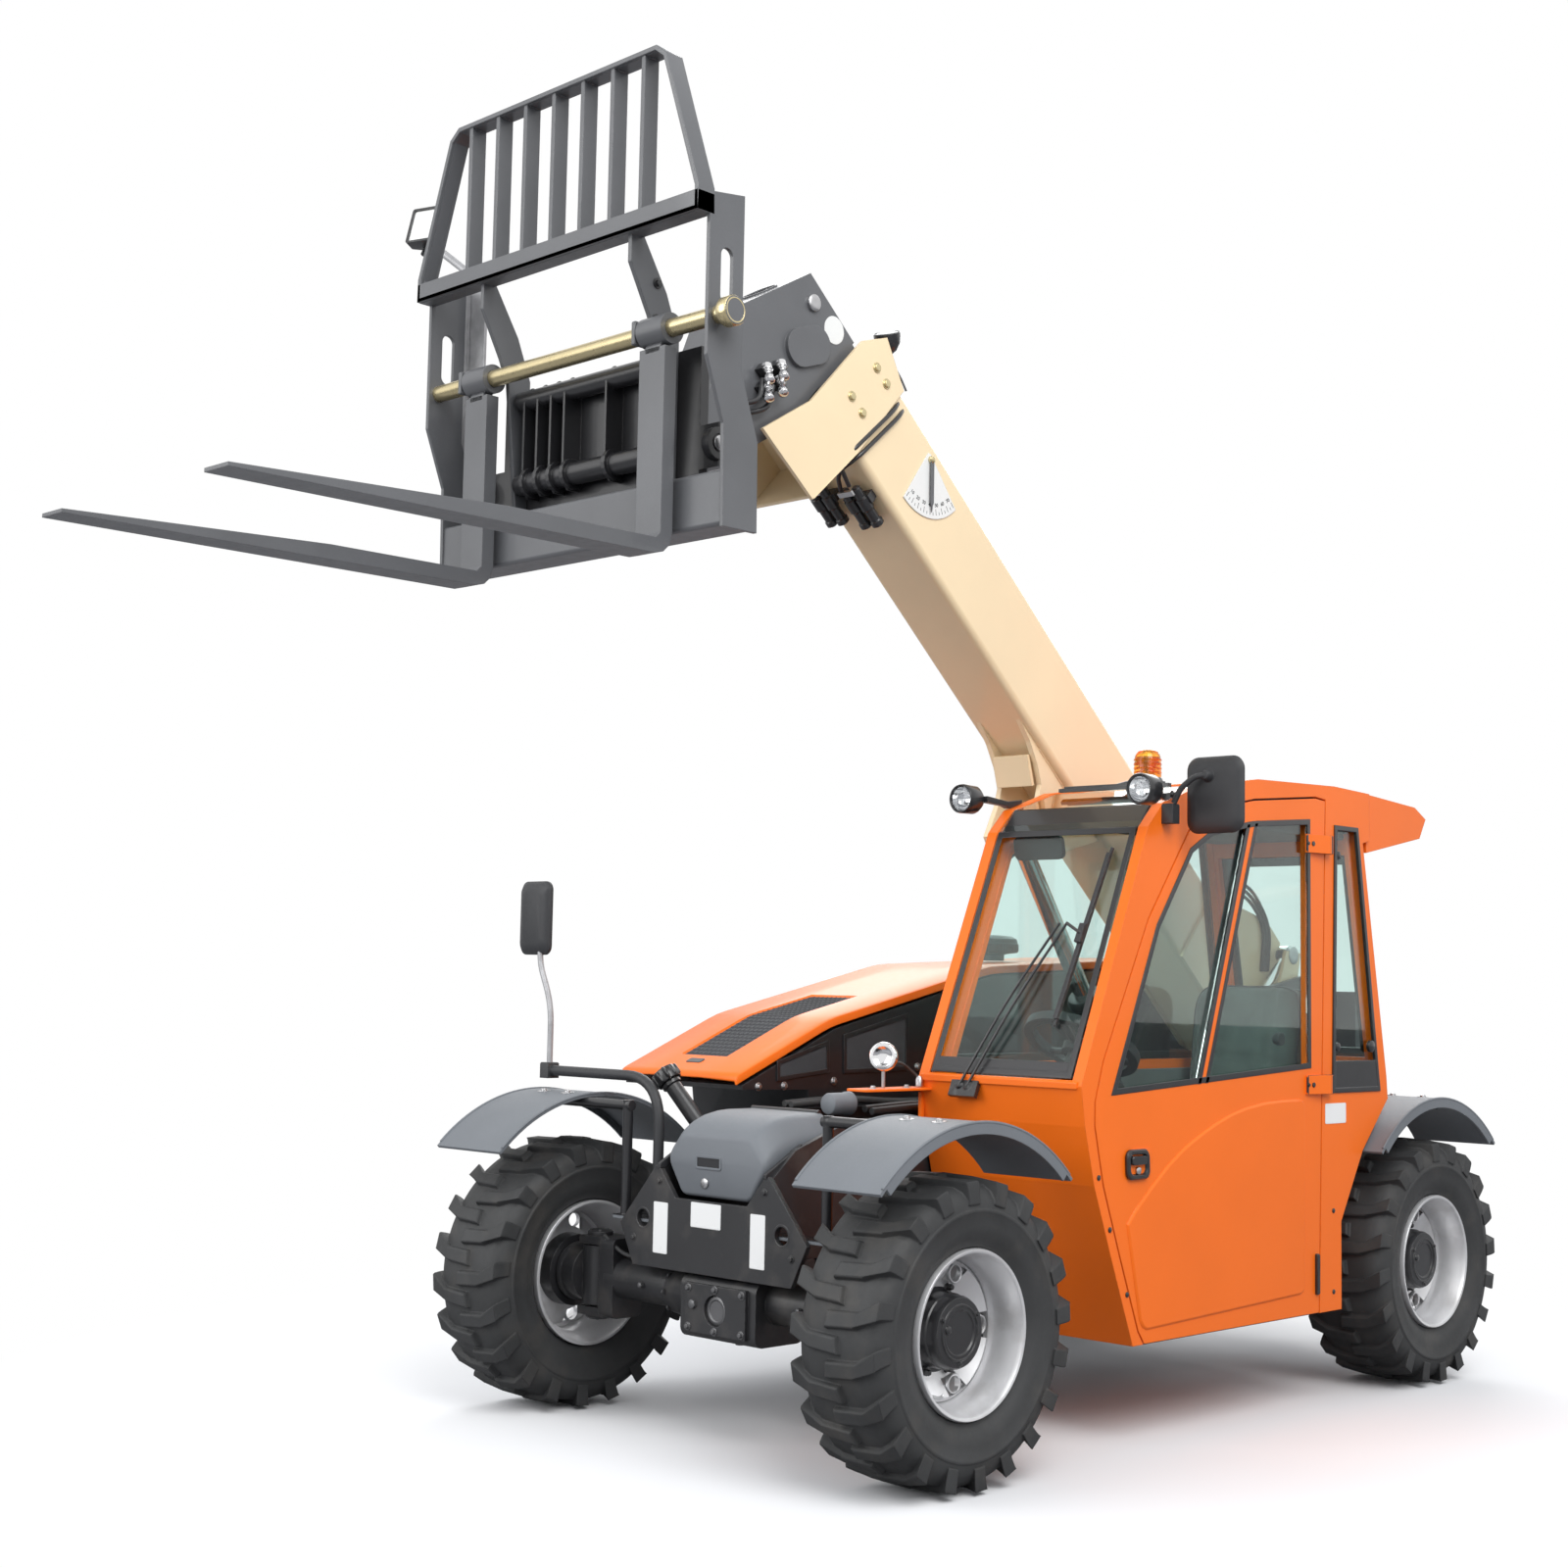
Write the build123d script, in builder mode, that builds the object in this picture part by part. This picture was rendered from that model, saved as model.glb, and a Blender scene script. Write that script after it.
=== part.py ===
from build123d import *
from math import cos, hypot, radians, sin
import os

os.makedirs("parts", exist_ok=True)

# Overall layout, in mm. X is forward, Y is left, Z is up, and the ground is Z = 0.
# mid_x is where the middle of the wheelbase lies, ahead of the middle of the overall length.
mid_x = -670
half_wheelbase = 1242
half_track = 767
kingpin_y = 600
tyre_r = 415
rim_r = 222
axle_z = tyre_r
tyre_sides = 40
lugs_a_side = 20

# Boom: pivot behind the cab, angle at rest, outer section.
pivot_x = -1380
pivot_z = 1220
boom_angle = 41
boom_w = 243
boom_top = 121
boom_bottom = -189
boom_wall = 10
inner_w = 190
inner_top = 84
inner_bottom = -156

# Cab: outside faces and the thickness of its tubes and doors.
cab_left = 860
cab_right = 250
cab_wall = 40
glass_t = 6

# Chassis plates each side of the boom.
plate_in = 218
plate_t = 20

# Carriage: coupler pivot, fork rod, frame width.
tilt_x = 1720
tilt_z = 2750
rod_x = 1968
rod_z = 3050
rod_r = 24
frame_half = 600
fork_y = 380
fork_w = 100
fork_t = 42
fork_tip = 3275

# Cylinders: pins of the lift cylinder and of the levelling cylinder.
lift_foot_x = -1000
lift_foot_z = 500
lift_eye_x = -63
lift_eye_z = 1826
level_foot_x = -930
level_foot_z = 985
level_eye_x = -1455
level_eye_z = 1462
level_y = 176


def side(y):
    """Upright plane along the machine at y, drawn in (x, z); a positive extrude goes to the right."""
    return Plane(origin=(mid_x, y, 0), x_dir=(1, 0, 0), z_dir=(0, -1, 0))


def across(x):
    """Upright plane across the machine at x, drawn in (y, z); a positive extrude goes forward."""
    return Plane(origin=(mid_x + x, 0, 0), x_dir=(0, 1, 0), z_dir=(1, 0, 0))


def level(z):
    """Level plane at height z, drawn in (x, y); a positive extrude goes up."""
    return Plane(origin=(mid_x, 0, z))


boom_dir = (cos(radians(boom_angle)), 0, sin(radians(boom_angle)))


def boom_side(y):
    """Plane along the boom at y, drawn in (along, up) from the boom's pivot."""
    return Plane(origin=(mid_x + pivot_x, y, pivot_z), x_dir=boom_dir, z_dir=(0, -1, 0))


def boom_cross(along):
    """Plane square to the boom, drawn in (y, up), a positive extrude goes to the boom's tip."""
    start = (mid_x + pivot_x + along * boom_dir[0], 0, pivot_z + along * boom_dir[2])
    return Plane(origin=start, x_dir=(0, 1, 0), z_dir=boom_dir)


def link_plane(x1, z1, x2, z2, y):
    """Plane square to the line from one pin to another, with its origin on the first pin."""
    run = (x2 - x1, 0, z2 - z1)
    return Plane(origin=(mid_x + x1, y, z1), x_dir=(0, 1, 0), z_dir=run)


# Chassis: two long plates that rise into the boom's tower, tied by cross plates.
chassis_side = [
    (1330, 480),
    (1330, 775),
    (1240, 850),
    (1000, 930),
    (-950, 930),
    (-1180, 1330),
    (-1560, 1400),
    (-1700, 1330),
    (-1760, 1000),
    (-1760, 470),
    (-1500, 470),
    (-1420, 560),
    (-1060, 560),
    (-950, 330),
    (950, 330),
    (1060, 540),
    (1270, 540),
]

with BuildPart() as chassis_frame:
    for y in (plate_in + plate_t, -plate_in):
        with BuildSketch(side(y)):
            with BuildLine():
                Polyline(*chassis_side, close=True)
            make_face()
        extrude(amount=plate_t)
    # Front plate with its slanting sides and two ears beside the cover.
    with BuildSketch(across(1330)):
        with BuildLine():
            Polyline(
                (-330, 480),
                (330, 480),
                (390, 600),
                (235, 780),
                (215, 770),
                (150, 690),
                (-150, 690),
                (-215, 770),
                (-235, 780),
                (-390, 600),
                close=True,
            )
        make_face()
        with Locations((-290, 620), (290, 620)):
            Circle(26, mode=Mode.SUBTRACT)
    extrude(amount=16)
    # Neck and cap of the tank, leaning out from the right-hand plate.
    neck = Plane(origin=(mid_x + 1090, -228, 800), z_dir=(0.2, -0.62, 0.76))
    with BuildSketch(neck):
        Circle(26)
    extrude(amount=280)
    with BuildSketch(neck.offset(280)):
        RegularPolygon(38, 8)
    extrude(amount=42)
    # Belly plate, cross plates and the pin of the lift cylinder.
    with BuildSketch(level(330)):
        with Locations((0, 0)):
            Rectangle(1900, 2 * plate_in)
    extrude(amount=16)
    for x in (934, -700):
        with BuildSketch(across(x)):
            with Locations((0, 430)):
                Rectangle(2 * plate_in, 168)
        extrude(amount=16)
    with BuildSketch(side(plate_in)):
        with Locations((lift_foot_x, lift_foot_z)):
            Circle(25)
    extrude(amount=2 * plate_in)
    # Pin of the levelling cylinder on the left plate.
    with BuildSketch(side(plate_in)):
        with Locations((level_foot_x, level_foot_z)):
            Circle(20)
    extrude(amount=66)
    with BuildSketch(side(plate_in + plate_t)):
        with BuildLine():
            Polyline((-1010, 925), (-960, 1030), (-900, 1030), (-850, 925), close=True)
        make_face()
    extrude(amount=plate_t)
    # Boom pivot pin with a round head outside each plate.
    with BuildSketch(side(plate_in + plate_t + 14)):
        with Locations((pivot_x, pivot_z)):
            Circle(60)
    extrude(amount=14)
    with BuildSketch(side(-plate_in - plate_t)):
        with Locations((pivot_x, pivot_z)):
            Circle(60)
    extrude(amount=14)
    with BuildSketch(side(plate_in)):
        with Locations((pivot_x, pivot_z)):
            Circle(35)
    extrude(amount=2 * plate_in)
    # Rear weight behind the tower, wider above the wheels.
    with BuildSketch(side(330)):
        with BuildLine():
            Polyline(
                (-1700, 560),
                (-1700, 1330),
                (-1780, 1310),
                (-1845, 1180),
                (-1845, 520),
                (-1800, 470),
                (-1740, 470),
                close=True,
            )
        make_face()
    extrude(amount=660)
    # Tow eye plates.
    for z in (520, 600):
        with BuildSketch(level(z)):
            with Locations((-1860, 0)):
                SlotOverall(150, 110)
            with Locations((-1890, 0)):
                Circle(18, mode=Mode.SUBTRACT)
        extrude(amount=18)
chassis_frame.part.label = "chassis_frame"
export_step(chassis_frame.part, "parts/chassis_frame.step")

# Axles: round tubes with a differential case, and forks that hold the kingpins.
with BuildPart() as axles:
    for x in (half_wheelbase, -half_wheelbase):
        with BuildSketch(side(510)):
            with Locations((x, axle_z)):
                Circle(62)
        extrude(amount=1020)
        with BuildSketch(side(190)):
            with Locations((x, axle_z - 30)):
                RectangleRounded(200, 180, 30)
        extrude(amount=310)
        # Cover plate on the outer face of the case and the bell beside it.
        with BuildSketch(across(x + (100 if x > 0 else -112))):
            with Locations((35, axle_z - 30)):
                Rectangle(250, 140)
            with Locations((35, axle_z - 30)):
                Circle(44, mode=Mode.SUBTRACT)
        extrude(amount=12)
        with BuildSketch(side(-120)):
            with Locations((x, axle_z - 8)):
                Circle(84)
        extrude(amount=110, taper=8)
        for s in (1, -1):
            # Kingpin fork: a block with an upper and a lower arm around the knuckle.
            with BuildSketch(side(535 if s > 0 else -470)):
                with Locations((x, axle_z)):
                    RectangleRounded(120, 240, 20)
            extrude(amount=65)
            for z in (axle_z + 95, axle_z - 120):
                with BuildSketch(level(z)):
                    with Locations((x, s * 575)):
                        Rectangle(110, 120)
                    with Locations((x, s * kingpin_y)):
                        Circle(21, mode=Mode.SUBTRACT)
                extrude(amount=25)
        # Mounting pads under the chassis plates.
        for y in (250, -200):
            with BuildSketch(side(y)):
                with Locations((x - 24, 505)):
                    Rectangle(104, 70 if x > 0 else 110)
            extrude(amount=50)
axles.part.label = "axles"
export_step(axles.part, "parts/axles.step")

# One tyre at the origin: a many-sided carcass with two rows of bent lugs, half a pitch apart.
lug_outline = [(146, 16), (146, 66), (84, 26), (-16, 20), (-22, -22), (76, -16)]
with BuildPart() as tyre_blank:
    for y, r, taper in ((-112, 393, 0), (112, 393, 42), (-112, 393, 42)):
        with BuildSketch(Plane(origin=(0, y, 0), x_dir=(1, 0, 0), z_dir=(0, 1 if y != -112 or not taper else -1, 0))):
            RegularPolygon(r, tyre_sides, major_radius=False, rotation=180 / tyre_sides)
        extrude(amount=224 if not taper else 32, taper=taper)
    for k in range(2 * lugs_a_side):
        turn = 360 / (2 * lugs_a_side) * k
        hand = 1 if k % 2 else -1
        out = (cos(radians(turn)), 0, sin(radians(turn)))
        start_r = 352
        with BuildSketch(Plane(origin=tuple(start_r * c for c in out), x_dir=(0, hand, 0), z_dir=out)):
            with BuildLine():
                Polyline(*[(a, hand * c) for a, c in lug_outline], close=True)
            make_face()
        extrude(amount=tyre_r - 5.3 - start_r)
    with BuildSketch(Plane(origin=(0, -200, 0), x_dir=(1, 0, 0), z_dir=(0, 1, 0))):
        RegularPolygon(rim_r, tyre_sides, major_radius=False, rotation=180 / tyre_sides)
    extrude(amount=400, mode=Mode.SUBTRACT)
tyre_shape = tyre_blank.part

for end, x in (("front", half_wheelbase), ("rear", -half_wheelbase)):
    for hand, s in (("left", 1), ("right", -1)):
        # Steering knuckle: a round case on the kingpin and the fender's arm.
        with BuildPart() as knuckle:
            with BuildSketch(level(axle_z - 90)):
                with Locations((x, s * kingpin_y)):
                    Circle(52)
            extrude(amount=180)
            with BuildSketch(level(axle_z - 118)):
                with Locations((x, s * kingpin_y)):
                    Circle(20)
            extrude(amount=236)
            with BuildSketch(side(s * 690)):
                with Locations((x, axle_z)):
                    Circle(85)
            extrude(amount=s * 60)
        knuckle.part.label = "knuckle_" + end + "_" + hand
        export_step(knuckle.part, "parts/knuckle_" + end + "_" + hand + ".step")

        with BuildPart() as tyre:
            add(tyre_shape.mirror(Plane.XZ) if s < 0 else tyre_shape)
        tyre.part.position = (mid_x + x, s * half_track, axle_z)
        tyre.part.label = "tyre_" + end + "_" + hand
        export_step(tyre.part, "parts/tyre_" + end + "_" + hand + ".step")

        # Rim with its disc and the hub's planetary case.
        with BuildPart() as rim:
            with BuildSketch(Plane(origin=(mid_x + x, s * half_track, axle_z), x_dir=(0, s, 0), z_dir=(s, 0, 0))):
                with BuildLine():
                    Polyline(
                        (-136, rim_r),
                        (-136, 205),
                        (-40, 190),
                        (30, 190),
                        (30, 110),
                        (-66, 110),
                        (-66, 0),
                        (95, 0),
                        (95, 70),
                        (45, 80),
                        (45, 195),
                        (136, 208),
                        (136, rim_r),
                        close=True,
                    )
                make_face()
            wheel_line = Axis((mid_x + x, s * half_track, axle_z), (0, 1, 0))
            revolve(axis=wheel_line)
            # Hand holes through the disc.
            with BuildSketch(side(s * half_track - 100)):
                with Locations((x, axle_z)):
                    with PolarLocations(153, 5, start_angle=90):
                        RegularPolygon(22, 6)
            extrude(amount=-200, both=False, mode=Mode.SUBTRACT)
        rim.part.label = "rim_" + end + "_" + hand
        export_step(rim.part, "parts/rim_" + end + "_" + hand + ".step")

# Fenders: curved plastic sheets over the tyres, on bent tubes that stand on the chassis.
with BuildPart() as fenders:
    for x, post_x in ((half_wheelbase, half_wheelbase + 58), (-half_wheelbase, -half_wheelbase - 58)):
        for s in (1, -1):
            with BuildSketch(side(922 if s > 0 else -612)):
                with Locations((x, axle_z)):
                    Circle(556)
                    Circle(546, mode=Mode.SUBTRACT)
                with BuildLine():
                    Polyline((x, axle_z), (x + 800, axle_z + 780), (x - 800, axle_z + 780), close=True)
                make_face(mode=Mode.INTERSECT)
            extrude(amount=310)
            # Lip along the outer edge.
            with BuildSketch(side(922 if s > 0 else -914)):
                with Locations((x, axle_z)):
                    Circle(550)
                    Circle(524, mode=Mode.SUBTRACT)
                with BuildLine():
                    Polyline((x, axle_z), (x + 800, axle_z + 860), (x - 800, axle_z + 860), close=True)
                make_face(mode=Mode.INTERSECT)
            extrude(amount=8)
            # Post, arm and foot.
            with BuildSketch(level(614)):
                with Locations((post_x, s * 420)):
                    Circle(15)
            extrude(amount=341)
            with BuildSketch(side(s * 405)):
                with Locations((post_x, 944)):
                    Circle(15)
            extrude(amount=-s * 470)
            with BuildSketch(level(606)):
                with Locations((post_x, s * 341)):
                    Rectangle(60, 206)
            extrude(amount=10)
fenders.part.label = "fenders"
export_step(fenders.part, "parts/fenders.step")

# Cab: side outline, hollowed, with a doorway and window openings.
cab_outline = [
    (470, 300),
    (487, 342),
    (577, 559),
    (660, 766),
    (706, 935),
    (725, 1050),
    (405, 1810),
    (330, 1885),
    (120, 1955),
    (-192, 1997),
    (-653, 2009),
    (-880, 2000),
    (-880, 1840),
    (-836, 1830),
    (-986, 1049),
    (-994, 974),
    (-828, 806),
    (-690, 583),
    (-690, 300),
]
door_outline = [
    (412, 302),
    (442, 342),
    (532, 559),
    (614, 766),
    (656, 935),
    (656, 1003),
    (618, 1118),
    (399, 1534),
    (191, 1807),
    (80, 1880),
    (-171, 1927),
    (-534, 1960),
    (-592, 1955),
    (-549, 302),
]
door_window = [
    (582, 1021),
    (108, 1048),
    (-504, 1083),
    (-500, 1890),
    (-160, 1862),
    (70, 1820),
    (185, 1757),
    (360, 1520),
]

with BuildPart() as cab_shell:
    with BuildSketch(side(cab_left)):
        with BuildLine():
            Polyline(*cab_outline, close=True)
        make_face()
    extrude(amount=cab_left - cab_right)
    with BuildSketch(side(cab_left - cab_wall)):
        with BuildLine():
            Polyline(*cab_outline, close=True)
        make_face()
        offset(amount=-cab_wall, kind=Kind.INTERSECTION, mode=Mode.REPLACE)
    extrude(amount=cab_left - cab_right - 2 * cab_wall, mode=Mode.SUBTRACT)
    # Doorway, a little larger than the door.
    with BuildSketch(side(cab_left + 1)) as doorway:
        with BuildLine():
            Polyline(*door_outline, close=True)
        make_face()
        offset(amount=6, kind=Kind.INTERSECTION, mode=Mode.REPLACE)
    extrude(amount=cab_wall + 2, mode=Mode.SUBTRACT)
    # Quarter window behind the door.
    with BuildSketch(side(cab_left + 1)):
        with BuildLine():
            Polyline((-632, 1000), (-650, 1880), (-800, 1880), (-930, 1060), (-940, 1000), close=True)
        make_face()
    extrude(amount=cab_wall + 2, mode=Mode.SUBTRACT)
    # Right-hand window.
    with BuildSketch(side(cab_right + cab_wall + 1)):
        with BuildLine():
            Polyline((600, 1090), (330, 1740), (100, 1880), (-780, 1900), (-910, 1090), close=True)
        make_face()
    extrude(amount=cab_wall + 2, mode=Mode.SUBTRACT)
    # Windscreen and the roof's front glass.
    with BuildSketch(side(cab_left - 36)):
        with BuildLine():
            Polyline((800, 1060), (640, 1060), (330, 1780), (-140, 1900), (-140, 2100), (800, 2100), close=True)
        make_face()
    extrude(amount=cab_left - cab_right - 72, mode=Mode.SUBTRACT)
    # Rear window.
    with BuildSketch(across(-1010)):
        with Locations(((cab_left + cab_right) / 2, 1450)):
            Rectangle(500, 680)
    extrude(amount=220, mode=Mode.SUBTRACT)
    # Roof's rear overhang.
    with BuildSketch(side(cab_left - 10)):
        with BuildLine():
            Polyline((-875, 1800), (-875, 2000), (-1209, 1977), (-1285, 1940), (-1241, 1870), close=True)
        make_face()
    extrude(amount=cab_left - cab_right - 20)
cab_shell.part.label = "cab_shell"
export_step(cab_shell.part, "parts/cab_shell.step")

with BuildPart() as cab_glass:
    # Windscreen.
    with BuildSketch(side(cab_left - 38)):
        with BuildLine():
            Polyline((712, 1064), (706, 1061), (392, 1806), (398, 1809), close=True)
        make_face()
    extrude(amount=cab_left - cab_right - 76)
    # Roof front glass.
    with BuildSketch(side(cab_left - 38)):
        with BuildLine():
            Polyline((395, 1812), (389, 1812), (318, 1880), (118, 1945), (-138, 1980), (-138, 1986), (120, 1951), (322, 1886), close=True)
        make_face()
    extrude(amount=cab_left - cab_right - 76)
    # Quarter window.
    with BuildSketch(side(cab_left - 10)):
        with BuildLine():
            Polyline((-634, 1002), (-652, 1878), (-798, 1878), (-928, 1060), (-938, 1002), close=True)
        make_face()
    extrude(amount=glass_t)
    # Right-hand window.
    with BuildSketch(side(cab_right + 16)):
        with BuildLine():
            Polyline((598, 1092), (329, 1738), (100, 1878), (-778, 1898), (-908, 1092), close=True)
        make_face()
    extrude(amount=glass_t)
    # Rear window.
    with BuildSketch(side(804)):
        with BuildLine():
            Polyline((-961, 1112), (-955, 1112), (-826, 1788), (-832, 1788), close=True)
        make_face()
    extrude(amount=498)
cab_glass.part.label = "cab_glass"
export_step(cab_glass.part, "parts/cab_glass.step")

with BuildPart() as cab_door:
    with BuildSketch(side(cab_left)) as door_face:
        with BuildLine():
            Polyline(*door_outline, close=True)
        make_face()
    extrude(amount=cab_wall)
    with BuildSketch(side(cab_left + 1)):
        with BuildLine():
            Polyline(*door_window, close=True)
        make_face()
    extrude(amount=cab_wall + 2, mode=Mode.SUBTRACT)
    # Leaning bar that splits the window.
    with BuildSketch(side(cab_left)):
        with BuildLine():
            Polyline((100, 1040), (130, 1040), (-150, 1870), (-180, 1870), close=True)
        make_face()
    extrude(amount=cab_wall)
    # Hinge straps with barrels on the door's turning line.
    for z in (1000, 1780):
        with BuildSketch(level(z)):
            with BuildLine():
                Polyline((-596, 868), (-585, 860), (-470, 860), (-470, 868), (-590, 885), (-598, 884), close=True)
            make_face()
            with Locations((-600, 876)):
                Circle(9)
        extrude(amount=60)
    # Handle plate.
    with BuildSketch(side(864)):
        with Locations((441, 822)):
            RectangleRounded(110, 84, 20)
    extrude(amount=4)
cab_door.part.label = "cab_door"
export_step(cab_door.part, "parts/cab_door.step")

with BuildPart() as door_glass:
    with BuildSketch(side(cab_left - 12)):
        with BuildLine():
            Polyline((580, 1023), (135, 1049), (-140, 1856), (70, 1818), (184, 1755), (358, 1520), close=True)
        make_face()
    extrude(amount=glass_t)
    with BuildSketch(side(cab_left - 12)):
        with BuildLine():
            Polyline((95, 1051), (-500, 1085), (-497, 1885), (-184, 1860), close=True)
        make_face()
    extrude(amount=glass_t)
door_glass.part.label = "door_glass"
export_step(door_glass.part, "parts/door_glass.step")

# Seat: cushion on a pedestal, with a tall back.
with BuildPart() as seat:
    with BuildSketch(side(760)):
        with BuildLine():
            Polyline(
                (-150, 700),
                (-150, 800),
                (-560, 780),
                (-650, 1350),
                (-720, 1350),
                (-680, 700),
                close=True,
            )
        make_face()
    extrude(amount=420)
    with BuildSketch(side(700)):
        with Locations((-430, 520)):
            Rectangle(360, 360)
    extrude(amount=300)
seat.part.label = "seat"
export_step(seat.part, "parts/seat.step")

# Steering column with its wheel on a dashboard.
with BuildPart() as steering_console:
    with BuildSketch(side(800)):
        with BuildLine():
            Polyline((420, 345), (520, 560), (600, 780), (640, 1000), (440, 1030), (330, 900), (380, 345), close=True)
        make_face()
    extrude(amount=500)
    column = Plane(origin=(mid_x + 400, 550, 1000), z_dir=(-0.5, 0, 0.86))
    with BuildSketch(column):
        Circle(28)
    extrude(amount=170)
    with BuildSketch(column.offset(165)):
        Circle(180)
        Circle(150, mode=Mode.SUBTRACT)
    extrude(amount=28)
    with BuildSketch(column.offset(165)):
        Rectangle(330, 36)
    extrude(amount=20)
steering_console.part.label = "steering_console"
export_step(steering_console.part, "parts/steering_console.step")

# Lamps on the cab's roof and tail.
with BuildPart() as lamps:
    for y in (205, 885):
        with BuildSketch(across(420)):
            with Locations((y, 1915)):
                Circle(46)
        extrude(amount=70)
    for y, width in ((858, 12), (262, 26)):
        with BuildSketch(side(y)):
            with BuildLine():
                Polyline((250, 1911.7), (310, 1891.7), (330, 1900), (425, 1905), (425, 1925), (320, 1915), (250, 1925), close=True)
            make_face()
        extrude(amount=width)
lamps.part.label = "lamps"
export_step(lamps.part, "parts/lamps.step")

with BuildPart() as beacon:
    with BuildSketch(level(2001)):
        with Locations((-230, 410)):
            Circle(56)
    extrude(amount=16)
    with BuildSketch(level(2017)):
        with Locations((-230, 410)):
            Circle(46)
    extrude(amount=104, taper=4)
beacon.part.label = "beacon"
export_step(beacon.part, "parts/beacon.step")

# Mirrors: the left one on a block at the cab's corner, the right one on a tube from the chassis.
mirror_post_x = 1235
with BuildPart() as mirrors:
    with BuildSketch(across(252)):
        with Locations((1000, 1908)):
            RectangleRounded(200, 230, 40)
    extrude(amount=26)
    with BuildSketch(side(902)):
        with Locations((320, 1852)):
            Rectangle(36, 44)
    extrude(amount=42)
    with BuildSketch(side(1000)):
        with Locations((302, 1880)):
            Circle(9)
    extrude(amount=110)
    with BuildSketch(across(270)):
        with Locations((985, 1880)):
            Circle(7)
    extrude(amount=32)
    with BuildSketch(across(1218)):
        with Locations((-975, 1520)):
            RectangleRounded(150, 240, 30)
    extrude(amount=34)
    with BuildSketch(level(1020)):
        with Locations((mirror_post_x, -880)):
            Circle(10)
    extrude(amount=220)
    with BuildSketch(Plane(origin=(mid_x + mirror_post_x, -880, 1234), z_dir=(0, -0.42, 0.9))):
        Circle(9)
    extrude(amount=150)
    with BuildSketch(level(1360)):
        with Locations((mirror_post_x, -943)):
            Circle(10)
    extrude(amount=100)
    with BuildSketch(side(-330)):
        with Locations((mirror_post_x, 1030)):
            Circle(15)
    extrude(amount=570)
    with BuildSketch(level(700)):
        with Locations((mirror_post_x, -350)):
            Circle(17)
    extrude(amount=350)
    with BuildSketch(level(700)):
        with Locations((mirror_post_x, -303)):
            Rectangle(50, 130)
    extrude(amount=10)
mirrors.part.label = "mirrors"
export_step(mirrors.part, "parts/mirrors.step")

# Engine bay: fixed body on the right of the boom.
bay_outline = [
    (600, 420),
    (680, 985),
    (975, 990),
    (975, 1005),
    (560, 1178),
    (-235, 1360),
    (-1150, 1398),
    (-1180, 1400),
    (-1184, 1440),
    (-1480, 1440),
    (-1500, 1400),
    (-1500, 990),
    (-700, 990),
    (-640, 420),
]
with BuildPart() as engine_bay:
    with BuildSketch(side(-256)):
        with BuildLine():
            Polyline(*bay_outline, close=True)
        make_face()
    extrude(amount=544)
    with BuildSketch(side(-274)):
        with BuildLine():
            Polyline((583, 438), (662, 1003), (950, 1008), (550, 1190), (-235, 1400), (-1130, 1400), (-1195, 1420), (-1482, 1420), (-1482, 1008), (-683, 1008), (-623, 438), close=True)
        make_face()
    extrude(amount=508, mode=Mode.SUBTRACT)
engine_bay.part.label = "engine_bay"
export_step(engine_bay.part, "parts/engine_bay.step")

# Engine hood: a shallow lid with rolled edges.
with BuildPart() as engine_hood:
    with BuildSketch(side(-256)):
        with BuildLine():
            Polyline(
                (1000, 1006),
                (1000, 1037),
                (579, 1215),
                (-235, 1398),
                (-1150, 1440),
                (-1170, 1410),
                (-1170, 1408),
                (-235, 1368),
                (565, 1186),
                (985, 1008),
                close=True,
            )
        make_face()
    extrude(amount=544)
    # Hinge barrel along the rear edge.
    with BuildSketch(side(-300)):
        with Locations((-1168, 1408)):
            Circle(7)
    extrude(amount=460)
    # Long recess for the mesh on the slope.
    with BuildSketch(side(-360)):
        with BuildLine():
            Polyline((760, 1160), (760, 1133), (579, 1209), (-150, 1372), (-150, 1420), (579, 1260), close=True)
        make_face()
    extrude(amount=250, mode=Mode.SUBTRACT)
engine_hood.part.label = "engine_hood"
export_step(engine_hood.part, "parts/engine_hood.step")

with BuildPart() as engine_block:
    with BuildSketch(side(-330)):
        with Locations((-100, 760)):
            Rectangle(800, 480)
    extrude(amount=380)
engine_block.part.label = "engine_block"
export_step(engine_block.part, "parts/engine_block.step")

with BuildPart() as air_precleaner:
    with BuildSketch(level(1418)):
        with Locations((-571, -520)):
            Circle(42)
    extrude(amount=30)
    with BuildSketch(level(1440)):
        with Locations((-571, -520)):
            Circle(94)
    extrude(amount=72, taper=6)
air_precleaner.part.label = "air_precleaner"
export_step(air_precleaner.part, "parts/air_precleaner.step")

# Plastic cover over the front of the chassis.
with BuildPart() as front_cover:
    with BuildSketch(across(1040)):
        with BuildLine():
            Polyline(
                (-143, 697),
                (143, 697),
                (203, 790),
                (203, 880),
                (150, 945),
                (-150, 945),
                (-203, 880),
                (-203, 790),
                close=True,
            )
        make_face()
    extrude(amount=286)
    # Its top slopes forward, its front edges are cut back, and a barrel runs along its hinge line.
    with BuildSketch(side(210)):
        with BuildLine():
            Polyline((1180, 946), (1275, 925), (1330, 880), (1330, 960), (1180, 960), close=True)
        make_face()
    extrude(amount=420, mode=Mode.SUBTRACT)
    with BuildSketch(side(140)):
        with Locations((1040, 944)):
            Circle(8)
    extrude(amount=280)
    with BuildSketch(across(1318)):
        with Locations((0, 835)):
            Rectangle(64, 22)
    extrude(amount=10, mode=Mode.SUBTRACT)
front_cover.part.label = "front_cover"
export_step(front_cover.part, "parts/front_cover.step")

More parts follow.
